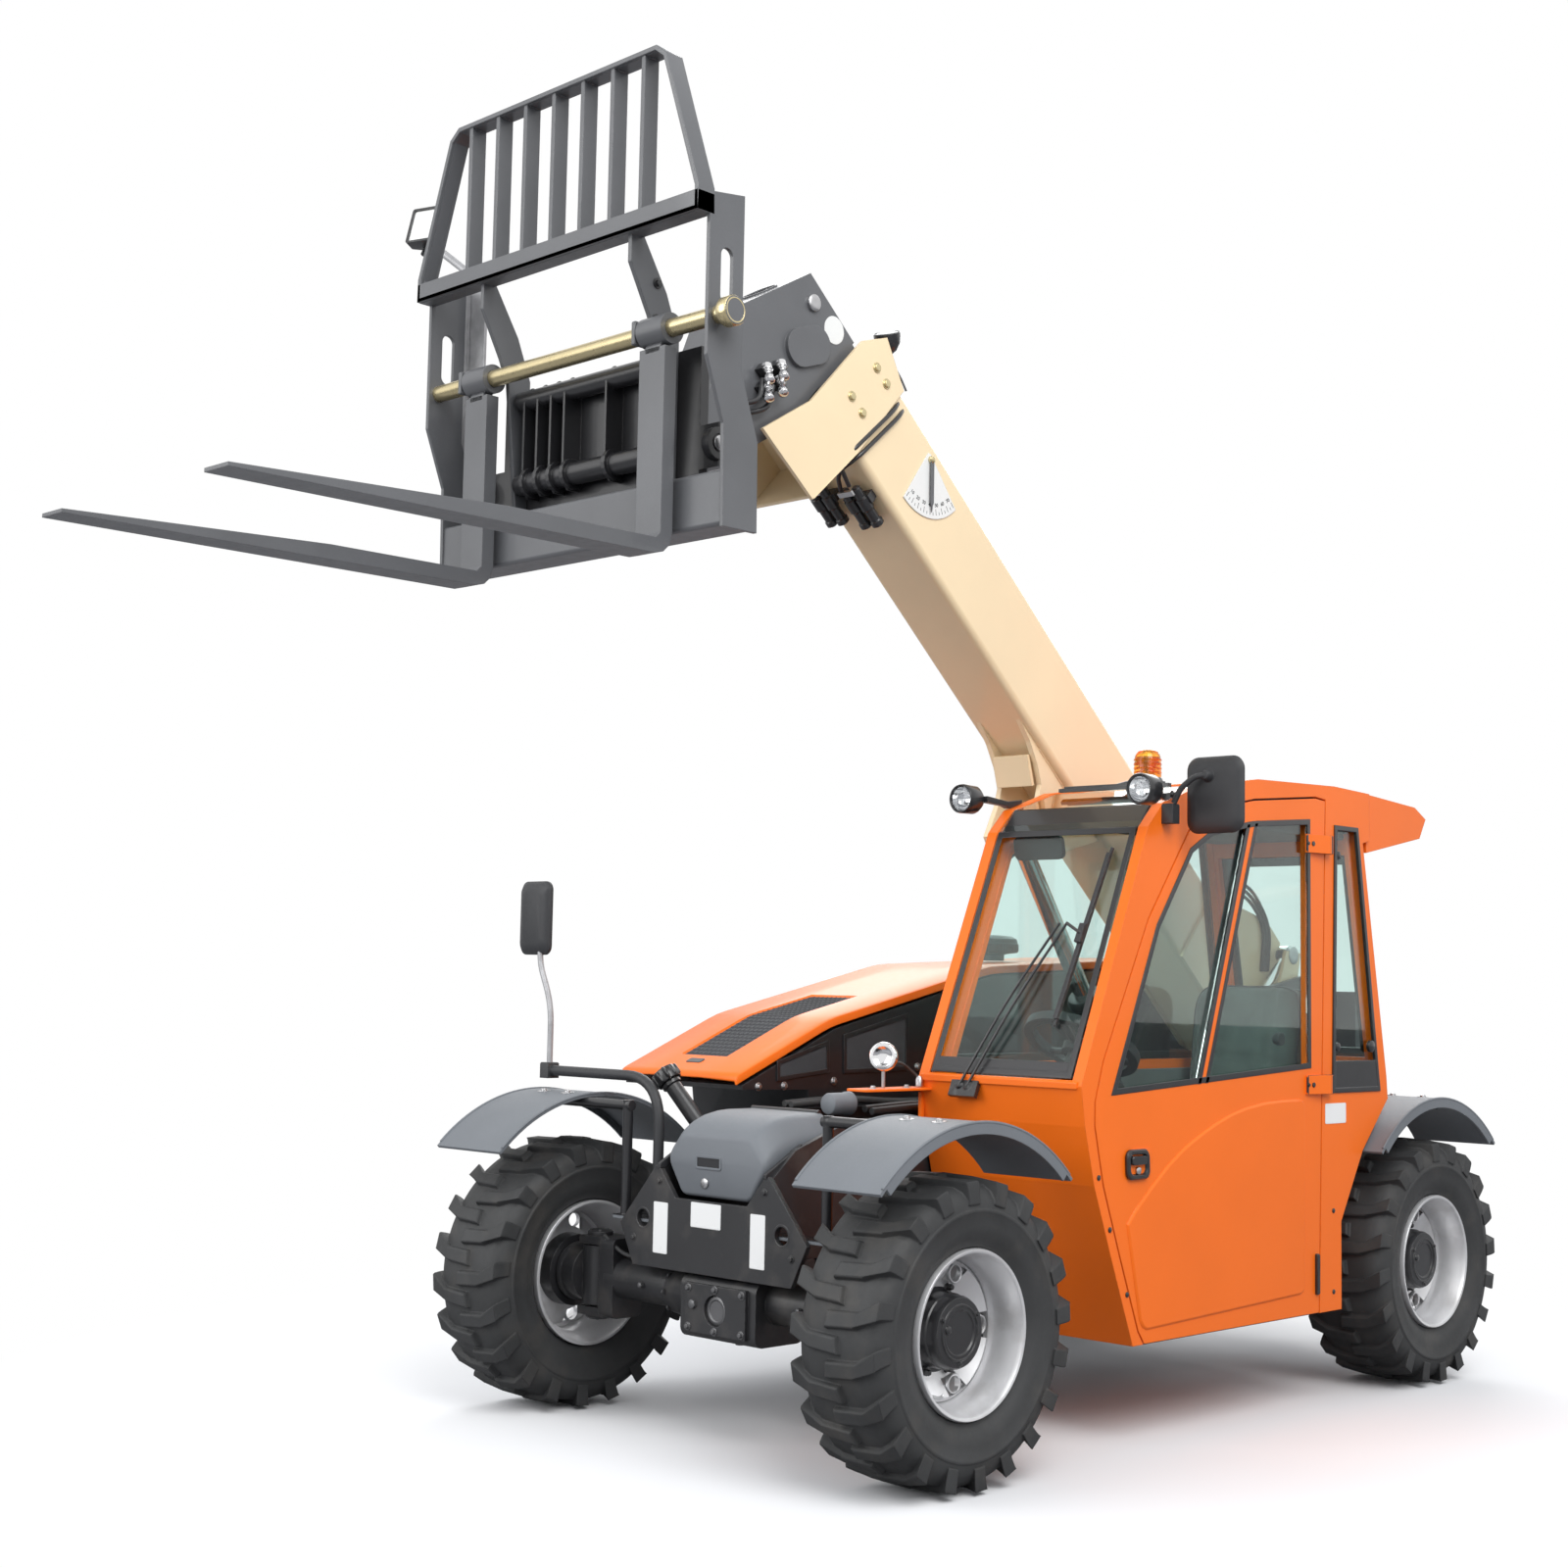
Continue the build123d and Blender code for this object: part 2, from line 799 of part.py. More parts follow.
# Outer boom with its front collar, pivot hub and cylinder bracket.
with BuildPart() as boom_outer:
    with BuildSketch(boom_cross(-60)):
        with Locations((0, (boom_top + boom_bottom) / 2)):
            RectangleRounded(boom_w, boom_top - boom_bottom, 22)
    extrude(amount=3100)
    with BuildSketch(boom_cross(200)):
        with Locations((0, (boom_top + boom_bottom) / 2)):
            Rectangle(boom_w - 2 * boom_wall, boom_top - boom_bottom - 2 * boom_wall)
    extrude(amount=2900, mode=Mode.SUBTRACT)
    # Foot plates: the outer one carries the levelling cylinder's eye.
    for y in (boom_w / 2 + 12, -boom_w / 2):
        with BuildSketch(boom_side(y)):
            with BuildLine():
                Polyline((-90, -120), (-60, 150), (110, 290), (230, 290), (560, 121), (560, -189), (60, -189), close=True)
            make_face()
        extrude(amount=12)
    # Outer lug for the levelling cylinder, from the hub up to the eye.
    with BuildSketch(side(plate_in - 6)):
        with BuildLine():
            Polyline((-1440, 1180), (-1505, 1470), (-1405, 1480), (-1320, 1230), close=True)
        make_face()
    extrude(amount=12)
    # Foot hub on the pivot pin, slimmer where the levelling cylinder passes it.
    with BuildSketch(side(142)):
        with Locations((pivot_x, pivot_z)):
            Circle(75)
    extrude(amount=284)
    with BuildSketch(side(plate_in - 5)):
        with Locations((pivot_x, pivot_z)):
            Circle(46)
    extrude(amount=2 * plate_in - 10)
    with BuildSketch(side(plate_in)):
        with Locations((pivot_x, pivot_z)):
            Circle(36)
    extrude(amount=2 * plate_in, mode=Mode.SUBTRACT)
    # Collar at the front: a ring between two side plates that reach down as an open bracket.
    with BuildSketch(boom_cross(2960)):
        with Locations((0, (boom_top + boom_bottom) / 2)):
            Rectangle(boom_w + 20, boom_top - boom_bottom + 44)
            Rectangle(boom_w - 2 * boom_wall, boom_top - boom_bottom - 2 * boom_wall, mode=Mode.SUBTRACT)
    extrude(amount=80)
    for y in (boom_w / 2 + 12, -boom_w / 2):
        with BuildSketch(boom_side(y)):
            with BuildLine():
                Polyline((2870, 121), (3033, 183), (3095, 82), (3110, -240), (3182, -469), (2902, -460), (2870, -189), close=True)
            make_face()
        extrude(amount=12)
    with BuildSketch(boom_side(boom_w / 2)):
        with BuildLine():
            Polyline((2890, -189), (2908, -460), (2918, -460), (2912, -272), (3080, -272), (3080, -262), (2902, -262), (2900, -189), close=True)
        make_face()
    extrude(amount=boom_w)
    # Lift cylinder bracket: two cheeks under the boom with a tie plate.
    for y in (95, -75):
        with BuildSketch(boom_side(y)):
            with BuildLine():
                Polyline(
                    (1150, -185),
                    (1320, -430),
                    (1391, -470),
                    (1450, -450),
                    (1480, -330),
                    (1510, -270),
                    (1570, -235),
                    (1650, -205),
                    (1760, -185),
                    close=True,
                )
            make_face()
        extrude(amount=20)
    with BuildSketch(boom_side(75)):
        with BuildLine():
            Polyline((1608, -222), (1614, -234), (1526, -292), (1518, -280), close=True)
        make_face()
    extrude(amount=150)
boom_outer.part.label = "boom_outer"
export_step(boom_outer.part, "parts/boom_outer.step")

nose_outline = [
    (3095, 84),
    (3359, 84),
    (3474, -248),
    (3372, -540),
    (3420, -850),
    (3405, -925),
    (3342, -960),
    (3275, -897),
    (3211, -696),
    (3100, -351),
]
with BuildPart() as boom_inner:
    with BuildSketch(boom_cross(320)):
        with Locations((0, (inner_top + inner_bottom) / 2)):
            RectangleRounded(inner_w, inner_top - inner_bottom, 16)
    extrude(amount=2900)
    with BuildSketch(boom_cross(330)):
        with Locations((0, (inner_top + inner_bottom) / 2)):
            Rectangle(inner_w - 16, inner_top - inner_bottom - 16)
    extrude(amount=2860, mode=Mode.SUBTRACT)
    # Nose plates that reach down to the coupler's pivot, and the end plate between them.
    for y in (inner_w / 2, -inner_w / 2 + 14):
        with BuildSketch(boom_side(y)):
            with BuildLine():
                Polyline(*nose_outline, close=True)
            make_face()
        extrude(amount=14)
    with BuildSketch(boom_side(inner_w / 2)):
        with BuildLine():
            Polyline((3095, 84), (3359, 84), (3474, -248), (3372, -540), (3358, -532), (3459, -246), (3348, 70), (3095, 70), close=True)
        make_face()
    extrude(amount=inner_w)
    # Oval hole in the end plate and a raised cover on the left side.
    slope = hypot(3474 - 3359, 84 + 248)
    end_dir = ((3474 - 3359) / slope, (-248 - 84) / slope)
    end_normal = (
        -end_dir[1] * boom_dir[0] - end_dir[0] * boom_dir[2],
        0,
        -end_dir[1] * boom_dir[2] + end_dir[0] * boom_dir[0],
    )
    hole_at = boom_side(0).from_local_coords(Vector(3405, -50, 0))
    with BuildSketch(Plane(origin=hole_at, x_dir=(0, 1, 0), z_dir=end_normal)):
        SlotOverall(120, 84, rotation=90)
    extrude(amount=60, both=True, mode=Mode.SUBTRACT)
    with BuildSketch(boom_side(inner_w / 2 + 14)):
        with Locations((3215, -100)):
            SlotOverall(190, 120, rotation=-60)
    extrude(amount=14)
    with BuildSketch(side(150)):
        with Locations((tilt_x, tilt_z)):
            Circle(25)
    extrude(amount=300)
boom_inner.part.label = "boom_inner"
export_step(boom_inner.part, "parts/boom_inner.step")

# Boom angle scale: a fan-shaped plate with a pendulum on a pin.
scale_at = (2635, 68)
with BuildPart() as angle_indicator:
    with BuildSketch(boom_side(boom_w / 2 + 3)):
        with Locations(scale_at):
            Circle(190)
        with BuildLine():
            Polyline((2650, 84), (2420, 84), (2420, -250), (2735, -250), (2700, -100), close=True)
        make_face(mode=Mode.INTERSECT)
    extrude(amount=3)
    with BuildSketch(boom_side(boom_w / 2 + 13)):
        with Locations(scale_at):
            Circle(12)
    extrude(amount=10)
    with BuildSketch(side(boom_w / 2 + 11)):
        with Locations((564, 2918)):
            Rectangle(18, 165)
    extrude(amount=5)
angle_indicator.part.label = "angle_indicator"
export_step(angle_indicator.part, "parts/angle_indicator.step")

# Carriage coupler: the plate behind the fork frame, with ears on the tilt pin.
with BuildPart() as coupler_plate:
    for y in (145, -120):
        with BuildSketch(side(y)):
            with BuildLine():
                Polyline((1820, 2660), (1740, 2690), (1670, 2710), (1660, 2750), (1700, 2810), (1820, 3030), close=True)
            make_face()
            with Locations((tilt_x, tilt_z)):
                Circle(26, mode=Mode.SUBTRACT)
        extrude(amount=25)
    with BuildSketch(side(420)):
        with BuildLine():
            Polyline((1820, 2657), (1820, 3030), (1850, 3030), (1850, 2657), close=True)
        make_face()
    extrude(amount=840)
    # Tabs with the round eyes of the attachment pins at both ends.
    for y in (495, -420):
        with BuildSketch(side(y)):
            with BuildLine():
                Polyline((1820, 2690), (1820, 2810), (1850, 2810), (1850, 2690), close=True)
            make_face()
        extrude(amount=75)
    for y in (497, -475):
        with BuildSketch(side(y)):
            with Locations((1852, 2750)):
                Circle(44)
        extrude(amount=22)
    # Pipes across the front, with rings, and ribs between them.
    for z, r in ((2990, 30), (2745, 32)):
        with BuildSketch(side(300)):
            with Locations((1884, z)):
                Circle(r)
        extrude(amount=600)
    for y in (-255, -195, -135, -75, 105):
        with BuildSketch(side(y)):
            with BuildLine():
                Polyline((1849, 2700), (1849, 3026), (1884, 3026), (1912, 3000), (1912, 2730), (1890, 2700), close=True)
            make_face()
        extrude(amount=8)
        with BuildSketch(side(y + 14)):
            with Locations((1884, 2745)):
                RegularPolygon(44, 16)
        extrude(amount=14)
coupler_plate.part.label = "coupler_plate"
export_step(coupler_plate.part, "parts/coupler_plate.step")

# Fork frame: side plates, lower tube, rod, back plate ties and backrest.
with BuildPart() as fork_frame:
    for y in (frame_half + 6, -frame_half + 6):
        with BuildSketch(side(y)):
            with BuildLine():
                Polyline(
                    (2004, 3372),
                    (2004, 2940),
                    (1940, 2770),
                    (1935, 2500),
                    (1812, 2500),
                    (1815, 2740),
                    (1880, 2920),
                    (1880, 3390),
                    close=True,
                )
            make_face()
            with Locations((1940, 3160)):
                SlotOverall(150, 44, rotation=90, mode=Mode.SUBTRACT)
        extrude(amount=12)
    with BuildSketch(side(frame_half - 6)):
        with Locations((1873, 2580)):
            RectangleRounded(118, 150, 12)
    extrude(amount=2 * frame_half - 12)
    with BuildSketch(side(frame_half + 40)):
        with Locations((rod_x, rod_z)):
            Circle(rod_r)
    extrude(amount=2 * frame_half + 60)
    with BuildSketch(side(frame_half + 72)):
        with Locations((rod_x, rod_z)):
            Circle(37)
    extrude(amount=38)
    # Two dog-leg brackets from the coupler up to the backrest.
    for y in (330, -310):
        with BuildSketch(side(y)):
            with BuildLine():
                Polyline(
                    (1851, 2657),
                    (1851, 3060),
                    (1900, 3180),
                    (2000, 3340),
                    (2030, 3340),
                    (2030, 3240),
                    (1960, 3110),
                    (1930, 3040),
                    (1890, 2657),
                    close=True,
                )
            make_face()
        extrude(amount=14)
    # Backrest: rails and upright bars.
    with BuildSketch(across(2000)):
        with BuildLine():
            Polyline(
                (-606, 3312),
                (606, 3312),
                (606, 3380),
                (470, 3770),
                (430, 3800),
                (-430, 3800),
                (-470, 3770),
                (-606, 3380),
                close=True,
            )
        make_face()
        with BuildLine():
            Polyline((-590, 3366), (590, 3366), (590, 3378), (456, 3764), (426, 3786), (-426, 3786), (-456, 3764), (-590, 3378), close=True)
        make_face(mode=Mode.SUBTRACT)
    extrude(amount=40)
    with BuildSketch(across(2002)):
        for y in (-375, -250, -125, 0, 125, 250, 375):
            with Locations((y, 3576)):
                Rectangle(14, 428)
    extrude(amount=36)
fork_frame.part.label = "fork_frame"
export_step(fork_frame.part, "parts/fork_frame.step")

# Forks hooked on the rod.
with BuildPart() as forks:
    for y in (fork_y, -fork_y):
        with BuildSketch(side(y + fork_w / 2)):
            with BuildLine():
                Polyline(
                    (rod_x - 18, 3000),
                    (rod_x - 18, 2500),
                    (rod_x - 9, 2468),
                    (rod_x + 12, 2448),
                    (rod_x + 42, 2440),
                    (fork_tip, 2440),
                    (fork_tip, 2450),
                    (2500, 2440 + fork_t),
                    (rod_x - 2 + fork_t, 2440 + fork_t),
                    (rod_x - 18 + fork_t, 2456 + fork_t),
                    (rod_x - 18 + fork_t, 3000),
                    close=True,
                )
            make_face()
        extrude(amount=fork_w)
        with BuildSketch(side(y + fork_w / 2)):
            with Locations((rod_x, rod_z)):
                Circle(42)
        extrude(amount=fork_w)
        with BuildSketch(side(y + fork_w / 2)):
            with Locations((rod_x, rod_z)):
                Circle(rod_r + 0.5)
        extrude(amount=fork_w, mode=Mode.SUBTRACT)
forks.part.label = "forks"
export_step(forks.part, "parts/forks.step")

# Lift cylinder.
lift_len = hypot(lift_eye_x - lift_foot_x, lift_eye_z - lift_foot_z)
lift_plane = link_plane(lift_foot_x, lift_foot_z, lift_eye_x, lift_eye_z, 0)
with BuildPart() as lift_cylinder_barrel:
    with BuildSketch(lift_plane.offset(20)):
        Circle(58)
    extrude(amount=960)
    with BuildSketch(lift_plane.offset(62)):
        Circle(33)
    extrude(amount=930, mode=Mode.SUBTRACT)
    with BuildSketch(side(60)):
        with Locations((lift_foot_x, lift_foot_z)):
            Circle(50)
    extrude(amount=120)
    with BuildSketch(side(60)):
        with Locations((lift_foot_x, lift_foot_z)):
            Circle(25.5)
    extrude(amount=120, mode=Mode.SUBTRACT)
lift_cylinder_barrel.part.label = "lift_cylinder_barrel"
export_step(lift_cylinder_barrel.part, "parts/lift_cylinder_barrel.step")

with BuildPart() as lift_cylinder_rod:
    with BuildSketch(lift_plane.offset(640)):
        Circle(32)
    extrude(amount=lift_len - 640)
    with BuildSketch(side(50)):
        with Locations((lift_eye_x, lift_eye_z)):
            Circle(50)
    extrude(amount=100)
lift_cylinder_rod.part.label = "lift_cylinder_rod"
export_step(lift_cylinder_rod.part, "parts/lift_cylinder_rod.step")

# Levelling cylinder beside the boom's foot.
level_len = hypot(level_eye_x - level_foot_x, level_eye_z - level_foot_z)
level_plane = link_plane(level_foot_x, level_foot_z, level_eye_x, level_eye_z, level_y)
with BuildPart() as level_cylinder_barrel:
    with BuildSketch(level_plane.offset(15)):
        Circle(23)
    extrude(amount=level_len - 270)
    with BuildSketch(level_plane.offset(60)):
        Circle(17)
    extrude(amount=level_len, mode=Mode.SUBTRACT)
    with BuildSketch(side(level_y + 22)):
        with Locations((level_foot_x, level_foot_z)):
            Circle(34)
    extrude(amount=44)
    with BuildSketch(side(level_y + 40)):
        with Locations((level_foot_x, level_foot_z)):
            Circle(20.5)
    extrude(amount=80, mode=Mode.SUBTRACT)
level_cylinder_barrel.part.label = "level_cylinder_barrel"
export_step(level_cylinder_barrel.part, "parts/level_cylinder_barrel.step")

with BuildPart() as level_cylinder_rod:
    with BuildSketch(level_plane.offset(240)):
        Circle(16)
    extrude(amount=level_len - 240)
    with BuildSketch(side(level_y + 20)):
        with Locations((level_eye_x, level_eye_z)):
            Circle(36)
    extrude(amount=40)
level_cylinder_rod.part.label = "level_cylinder_rod"
export_step(level_cylinder_rod.part, "parts/level_cylinder_rod.step")
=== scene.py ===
"""Looks of a compact telehandler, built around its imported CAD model.

Lengths are in metres. X runs forwards, Y to the machine's left and Z up.
"""

import math

import bmesh
import bpy
from mathutils import Matrix, Vector


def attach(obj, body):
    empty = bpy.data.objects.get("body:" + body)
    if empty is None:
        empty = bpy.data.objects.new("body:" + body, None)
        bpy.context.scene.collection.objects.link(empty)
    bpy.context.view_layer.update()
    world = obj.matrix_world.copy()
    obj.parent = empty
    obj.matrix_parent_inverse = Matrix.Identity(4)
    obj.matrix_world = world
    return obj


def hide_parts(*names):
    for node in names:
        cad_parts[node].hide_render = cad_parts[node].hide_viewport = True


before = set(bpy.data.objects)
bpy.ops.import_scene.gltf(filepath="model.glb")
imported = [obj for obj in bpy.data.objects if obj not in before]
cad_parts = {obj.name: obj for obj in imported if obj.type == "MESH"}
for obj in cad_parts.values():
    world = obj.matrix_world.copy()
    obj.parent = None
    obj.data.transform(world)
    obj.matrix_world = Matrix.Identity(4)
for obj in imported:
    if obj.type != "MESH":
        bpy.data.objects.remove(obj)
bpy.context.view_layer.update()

X, Y, Z = Vector((1, 0, 0)), Vector((0, 1, 0)), Vector((0, 0, 1))
# The machine is laid out from the middle of its wheelbase, which lies here in the frame.
MID_X = -0.670
HALF_WHEELBASE = 1.242
HALF_TRACK = 0.767
TYRE_R = 0.415
PIVOT = Vector((-1.380 + MID_X, 0.0, 1.220))
BOOM_ANGLE = math.radians(41)
BOOM_DIR = Vector((math.cos(BOOM_ANGLE), 0, math.sin(BOOM_ANGLE)))
BOOM_UP = Vector((-math.sin(BOOM_ANGLE), 0, math.cos(BOOM_ANGLE)))
CAB_LEFT, CAB_RIGHT = 0.860, 0.250
LEFT_U = -X             # with Z, the directions of an outline on the cab's left face
SIDES = (("left", 1), ("right", -1))
AXLES = (("front", HALF_WHEELBASE), ("rear", -HALF_WHEELBASE))


# Materials ------------------------------------------------------------------------------------
class Nodes:
    """A short way to write a material's node tree."""

    def __init__(self, tree, output="ShaderNodeOutputMaterial"):
        self.tree = tree
        self.tree.nodes.clear()
        self.output = self.add(output)

    def add(self, kind, inputs=(), **settings):
        """A node, with each input given by name or number linked to a socket or set to a value."""
        node = self.tree.nodes.new(kind)
        for key, value in settings.items():
            setattr(node, key, value)
        for key, value in dict(inputs).items():
            self.feed(node.inputs[key], value)
        return node

    def feed(self, socket, value):
        """Links a socket, or sets it to a number, a vector or a colour."""
        if isinstance(value, bpy.types.NodeSocket):
            self.tree.links.new(value, socket)
        elif isinstance(value, tuple) and socket.type == "RGBA":
            socket.default_value = (*value, 1)
        else:
            socket.default_value = value

    def noise(self, scale, detail):
        """Noise in the object's own coordinates, from 0 to 1; scale is in waves per metre."""
        place = self.add("ShaderNodeTexCoord").outputs["Object"]
        mapping = self.add("ShaderNodeMapping", {"Vector": place})
        noise = self.add("ShaderNodeTexNoise", {
            "Scale": scale, "Detail": detail, "Vector": mapping.outputs["Vector"]})
        return noise.outputs["Fac"]

    def ramp(self, source, low, high, a=0.0, b=1.0):
        """Maps a range of the source to a range of values."""
        return self.add("ShaderNodeMapRange", {
            "Value": source, "From Min": low, "From Max": high, "To Min": a, "To Max": b,
        }).outputs["Result"]

    def maths(self, operation, a, b):
        """Two values multiplied or compared."""
        return self.add("ShaderNodeMath", {0: a, 1: b}, operation=operation).outputs["Value"]

    def mix(self, factor, a, b):
        """Mixes two colours, each a tuple or a socket."""
        return self.add("ShaderNodeMix", {"Factor": factor, "A": a, "B": b},
                        data_type="RGBA").outputs["Result"]

    def blend(self, factor, first, second):
        """Shows the first shader where the factor is 0 and the second where it is 1."""
        mixed = self.add("ShaderNodeMixShader", {"Fac": factor, 1: first, 2: second})
        self.feed(self.output.inputs["Surface"], mixed.outputs["Shader"])

    def softened(self, radius):
        """The surface's normal with its edges rounded off."""
        return self.add("ShaderNodeBevel", {"Radius": radius}, samples=4).outputs["Normal"]

    def edges(self, radius):
        """1 along sharp edges and 0 on flat faces."""
        flat = self.add("ShaderNodeNewGeometry").outputs["Normal"]
        dot = self.add("ShaderNodeVectorMath", {0: self.softened(radius), 1: flat},
                       operation="DOT_PRODUCT")
        return self.ramp(dot.outputs["Value"], 0.995, 0.86)


def new_material(name):
    """A material and its empty node tree."""
    material = bpy.data.materials.new(name)
    material.use_nodes = True
    return material, Nodes(material.node_tree)


def finish_material(name, colour, roughness, metallic=0.0, coat=0.0, shade=0.12, patches=2.5,
                    grain=260.0, bump=0.15, soften=0.004, dirt=None, worn=None, sheen=0.0,
                    vary=0.03, specular=0.5):
    """Paint, metal, rubber or plastic: patchy colour, grainy bump, soft edges, dirt and wear."""
    material, n = new_material(name)
    dark = tuple(c * (1 - shade) for c in colour)
    light = tuple(min(1.0, c * (1 + shade)) for c in colour)
    base = n.mix(n.ramp(n.noise(patches, 5.0), 0.35, 0.65), dark, light)
    fine = n.noise(grain, 2.0)
    base = n.mix(n.ramp(fine, 0.3, 0.7, 0.0, 0.35), base, dark)
    if dirt:
        base = n.mix(n.ramp(n.noise(9.0, 8.0), 0.52, 0.78, 0.0, 0.55), base, dirt)
    if worn:
        spots = n.ramp(n.noise(38.0, 6.0), 0.46, 0.60, 0.0, 0.8)
        base = n.mix(n.maths("MULTIPLY", n.edges(0.003), spots), base, worn)
    bumps = n.add("ShaderNodeBump", {
        "Strength": bump, "Distance": 0.0012, "Height": fine, "Normal": n.softened(soften)})
    shader = n.add("ShaderNodeBsdfPrincipled", {
        "Base Color": base,
        "Metallic": metallic,
        "Roughness": n.ramp(n.noise(grain * 0.12, 4.0), 0.3, 0.7,
                            max(0.02, roughness - vary), roughness + vary),
        "Specular IOR Level": specular,
        "Coat Weight": coat,
        "Coat Roughness": 0.06,
        "Sheen Weight": sheen,
        "Normal": bumps.outputs["Normal"],
    })
    n.feed(n.output.inputs["Surface"], shader.outputs["BSDF"])
    return material


def glass_material(name, tint, smoke=0.06):
    """Clear or tinted sheet glass that lets the lamps' light through."""
    material, n = new_material(name)
    smoky = tuple(c * (1 - smoke) for c in tint)
    base = n.mix(n.ramp(n.noise(1.6, 4.0), 0.3, 0.7), tint, smoky)
    shader = n.add("ShaderNodeBsdfPrincipled", {
        "Base Color": base,
        "Roughness": n.ramp(n.noise(30.0, 4.0), 0.4, 0.7, 0.0, 0.03),
        "IOR": 1.45,
        "Transmission Weight": 1.0,
    })
    clear = n.add("ShaderNodeBsdfTransparent", {"Color": base})
    shadow = n.add("ShaderNodeLightPath").outputs["Is Shadow Ray"]
    n.blend(shadow, shader.outputs["BSDF"], clear.outputs["BSDF"])
    return material


ORANGE = finish_material("orange_paint", (0.97, 0.175, 0.010), 0.36, coat=0.12, shade=0.03,
                         grain=420.0, bump=0.03, worn=(0.62, 0.13, 0.02), vary=0.012,
                         specular=0.30)
CREAM = finish_material("cream_paint", (0.90, 0.715, 0.455), 0.34, coat=0.45, shade=0.035,
                        grain=380.0, bump=0.06, worn=(0.52, 0.38, 0.2))
CHARCOAL = finish_material("charcoal_paint", (0.108, 0.111, 0.118), 0.40, coat=0.25,
                           bump=0.12, worn=(0.16, 0.16, 0.165))
BLACK = finish_material("black_paint", (0.018, 0.018, 0.020), 0.34, coat=0.35, shade=0.2,
                        bump=0.1, worn=(0.09, 0.09, 0.09))
CHASSIS_BLACK = finish_material("chassis_black", (0.022, 0.022, 0.024), 0.42, coat=0.2,
                                shade=0.2, dirt=(0.10, 0.09, 0.08), worn=(0.12, 0.12, 0.12))
PLASTIC = finish_material("grey_plastic", (0.165, 0.178, 0.195), 0.52, shade=0.08, grain=900.0,
                          bump=0.35)
DARK_PLASTIC = finish_material("dark_plastic", (0.030, 0.031, 0.034), 0.50, grain=900.0,
                               bump=0.35)
RUBBER = finish_material("tyre_rubber", (0.036, 0.037, 0.038), 0.62, shade=0.2, patches=6.0,
                         grain=520.0, bump=0.5, dirt=(0.075, 0.068, 0.060), soften=0.006)
SILVER = finish_material("silver_paint", (0.74, 0.74, 0.75), 0.34, metallic=0.55, coat=0.2,
                         shade=0.06, bump=0.1, dirt=(0.34, 0.32, 0.30))
CHROME = finish_material("chromed_rod", (0.78, 0.78, 0.79), 0.10, metallic=1.0, shade=0.03,
                         bump=0.03)
STEEL = finish_material("bright_steel", (0.52, 0.52, 0.53), 0.32, metallic=1.0, bump=0.2)
GOLD = finish_material("zinc_passivated", (0.66, 0.56, 0.33), 0.28, metallic=0.9, shade=0.05,
                       bump=0.03, vary=0.02)
LINER = finish_material("cab_liner", (0.16, 0.165, 0.165), 0.75, shade=0.1, grain=1200.0,
                        bump=0.6)
FABRIC = finish_material("seat_fabric", (0.075, 0.095, 0.088), 0.85, shade=0.2, patches=14.0,
                         grain=1500.0, bump=0.8, sheen=0.3)
AMBER = glass_material("amber_lens", (1.0, 0.50, 0.06))
RED = glass_material("red_lens", (0.7, 0.02, 0.02))
CLEAR = glass_material("clear_lens", (0.95, 0.97, 0.98))
GLASS = glass_material("tinted_glass", (0.80, 0.93, 0.90))
WHITE = finish_material("white_plate", (0.82, 0.82, 0.80), 0.35, shade=0.03, bump=0.05)
GRILLE = finish_material("mesh_grey", (0.060, 0.062, 0.068), 0.72, shade=0.2, grain=700.0,
                         bump=0.9)
STEEL_DARK = finish_material("dull_steel", (0.16, 0.16, 0.165), 0.42, metallic=0.7, shade=0.15,
                             bump=0.2)
SILVER_GREY = finish_material("galvanised", (0.42, 0.42, 0.43), 0.45, metallic=0.35,
                              patches=30.0)
LABEL = finish_material("label_film", (0.88, 0.88, 0.87), 0.30, shade=0.02, bump=0.03)

NODE_MATERIALS = {
    "chassis_frame": CHASSIS_BLACK, "axles": CHASSIS_BLACK, "fenders": PLASTIC,
    "cab_shell": ORANGE, "cab_glass": GLASS, "cab_door": ORANGE, "door_glass": GLASS,
    "seat": FABRIC, "steering_console": DARK_PLASTIC, "lamps": BLACK, "beacon": AMBER,
    "mirrors": DARK_PLASTIC, "engine_bay": BLACK, "engine_hood": ORANGE,
    "engine_block": CHARCOAL, "air_precleaner": DARK_PLASTIC, "front_cover": PLASTIC,
    "boom_outer": CREAM, "boom_inner": CHARCOAL, "angle_indicator": WHITE,
    "coupler_plate": BLACK, "fork_frame": CHARCOAL, "forks": CHARCOAL,
    "lift_cylinder_barrel": BLACK, "lift_cylinder_rod": CHROME,
    "level_cylinder_barrel": BLACK, "level_cylinder_rod": CHROME,
}
for end, _ in AXLES:
    for hand, _ in SIDES:
        NODE_MATERIALS[f"knuckle_{end}_{hand}"] = CHASSIS_BLACK
        NODE_MATERIALS[f"tyre_{end}_{hand}"] = RUBBER
        NODE_MATERIALS[f"rim_{end}_{hand}"] = SILVER
for node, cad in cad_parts.items():
    chosen = NODE_MATERIALS.get(node, CHASSIS_BLACK)
    if not cad.material_slots:
        cad.data.materials.append(chosen)
    for slot in cad.material_slots:
        slot.material = chosen


# Shapes ---------------------------------------------------------------------------------------
def at(x, y, z):
    """A point given from the middle of the wheelbase, in the frame."""
    return Vector((x + MID_X, y, z))


def on_boom(along, y, up):
    """A point given along the boom from its pivot, across, and square to its top."""
    return PIVOT + BOOM_DIR * along + Y * y + BOOM_UP * up


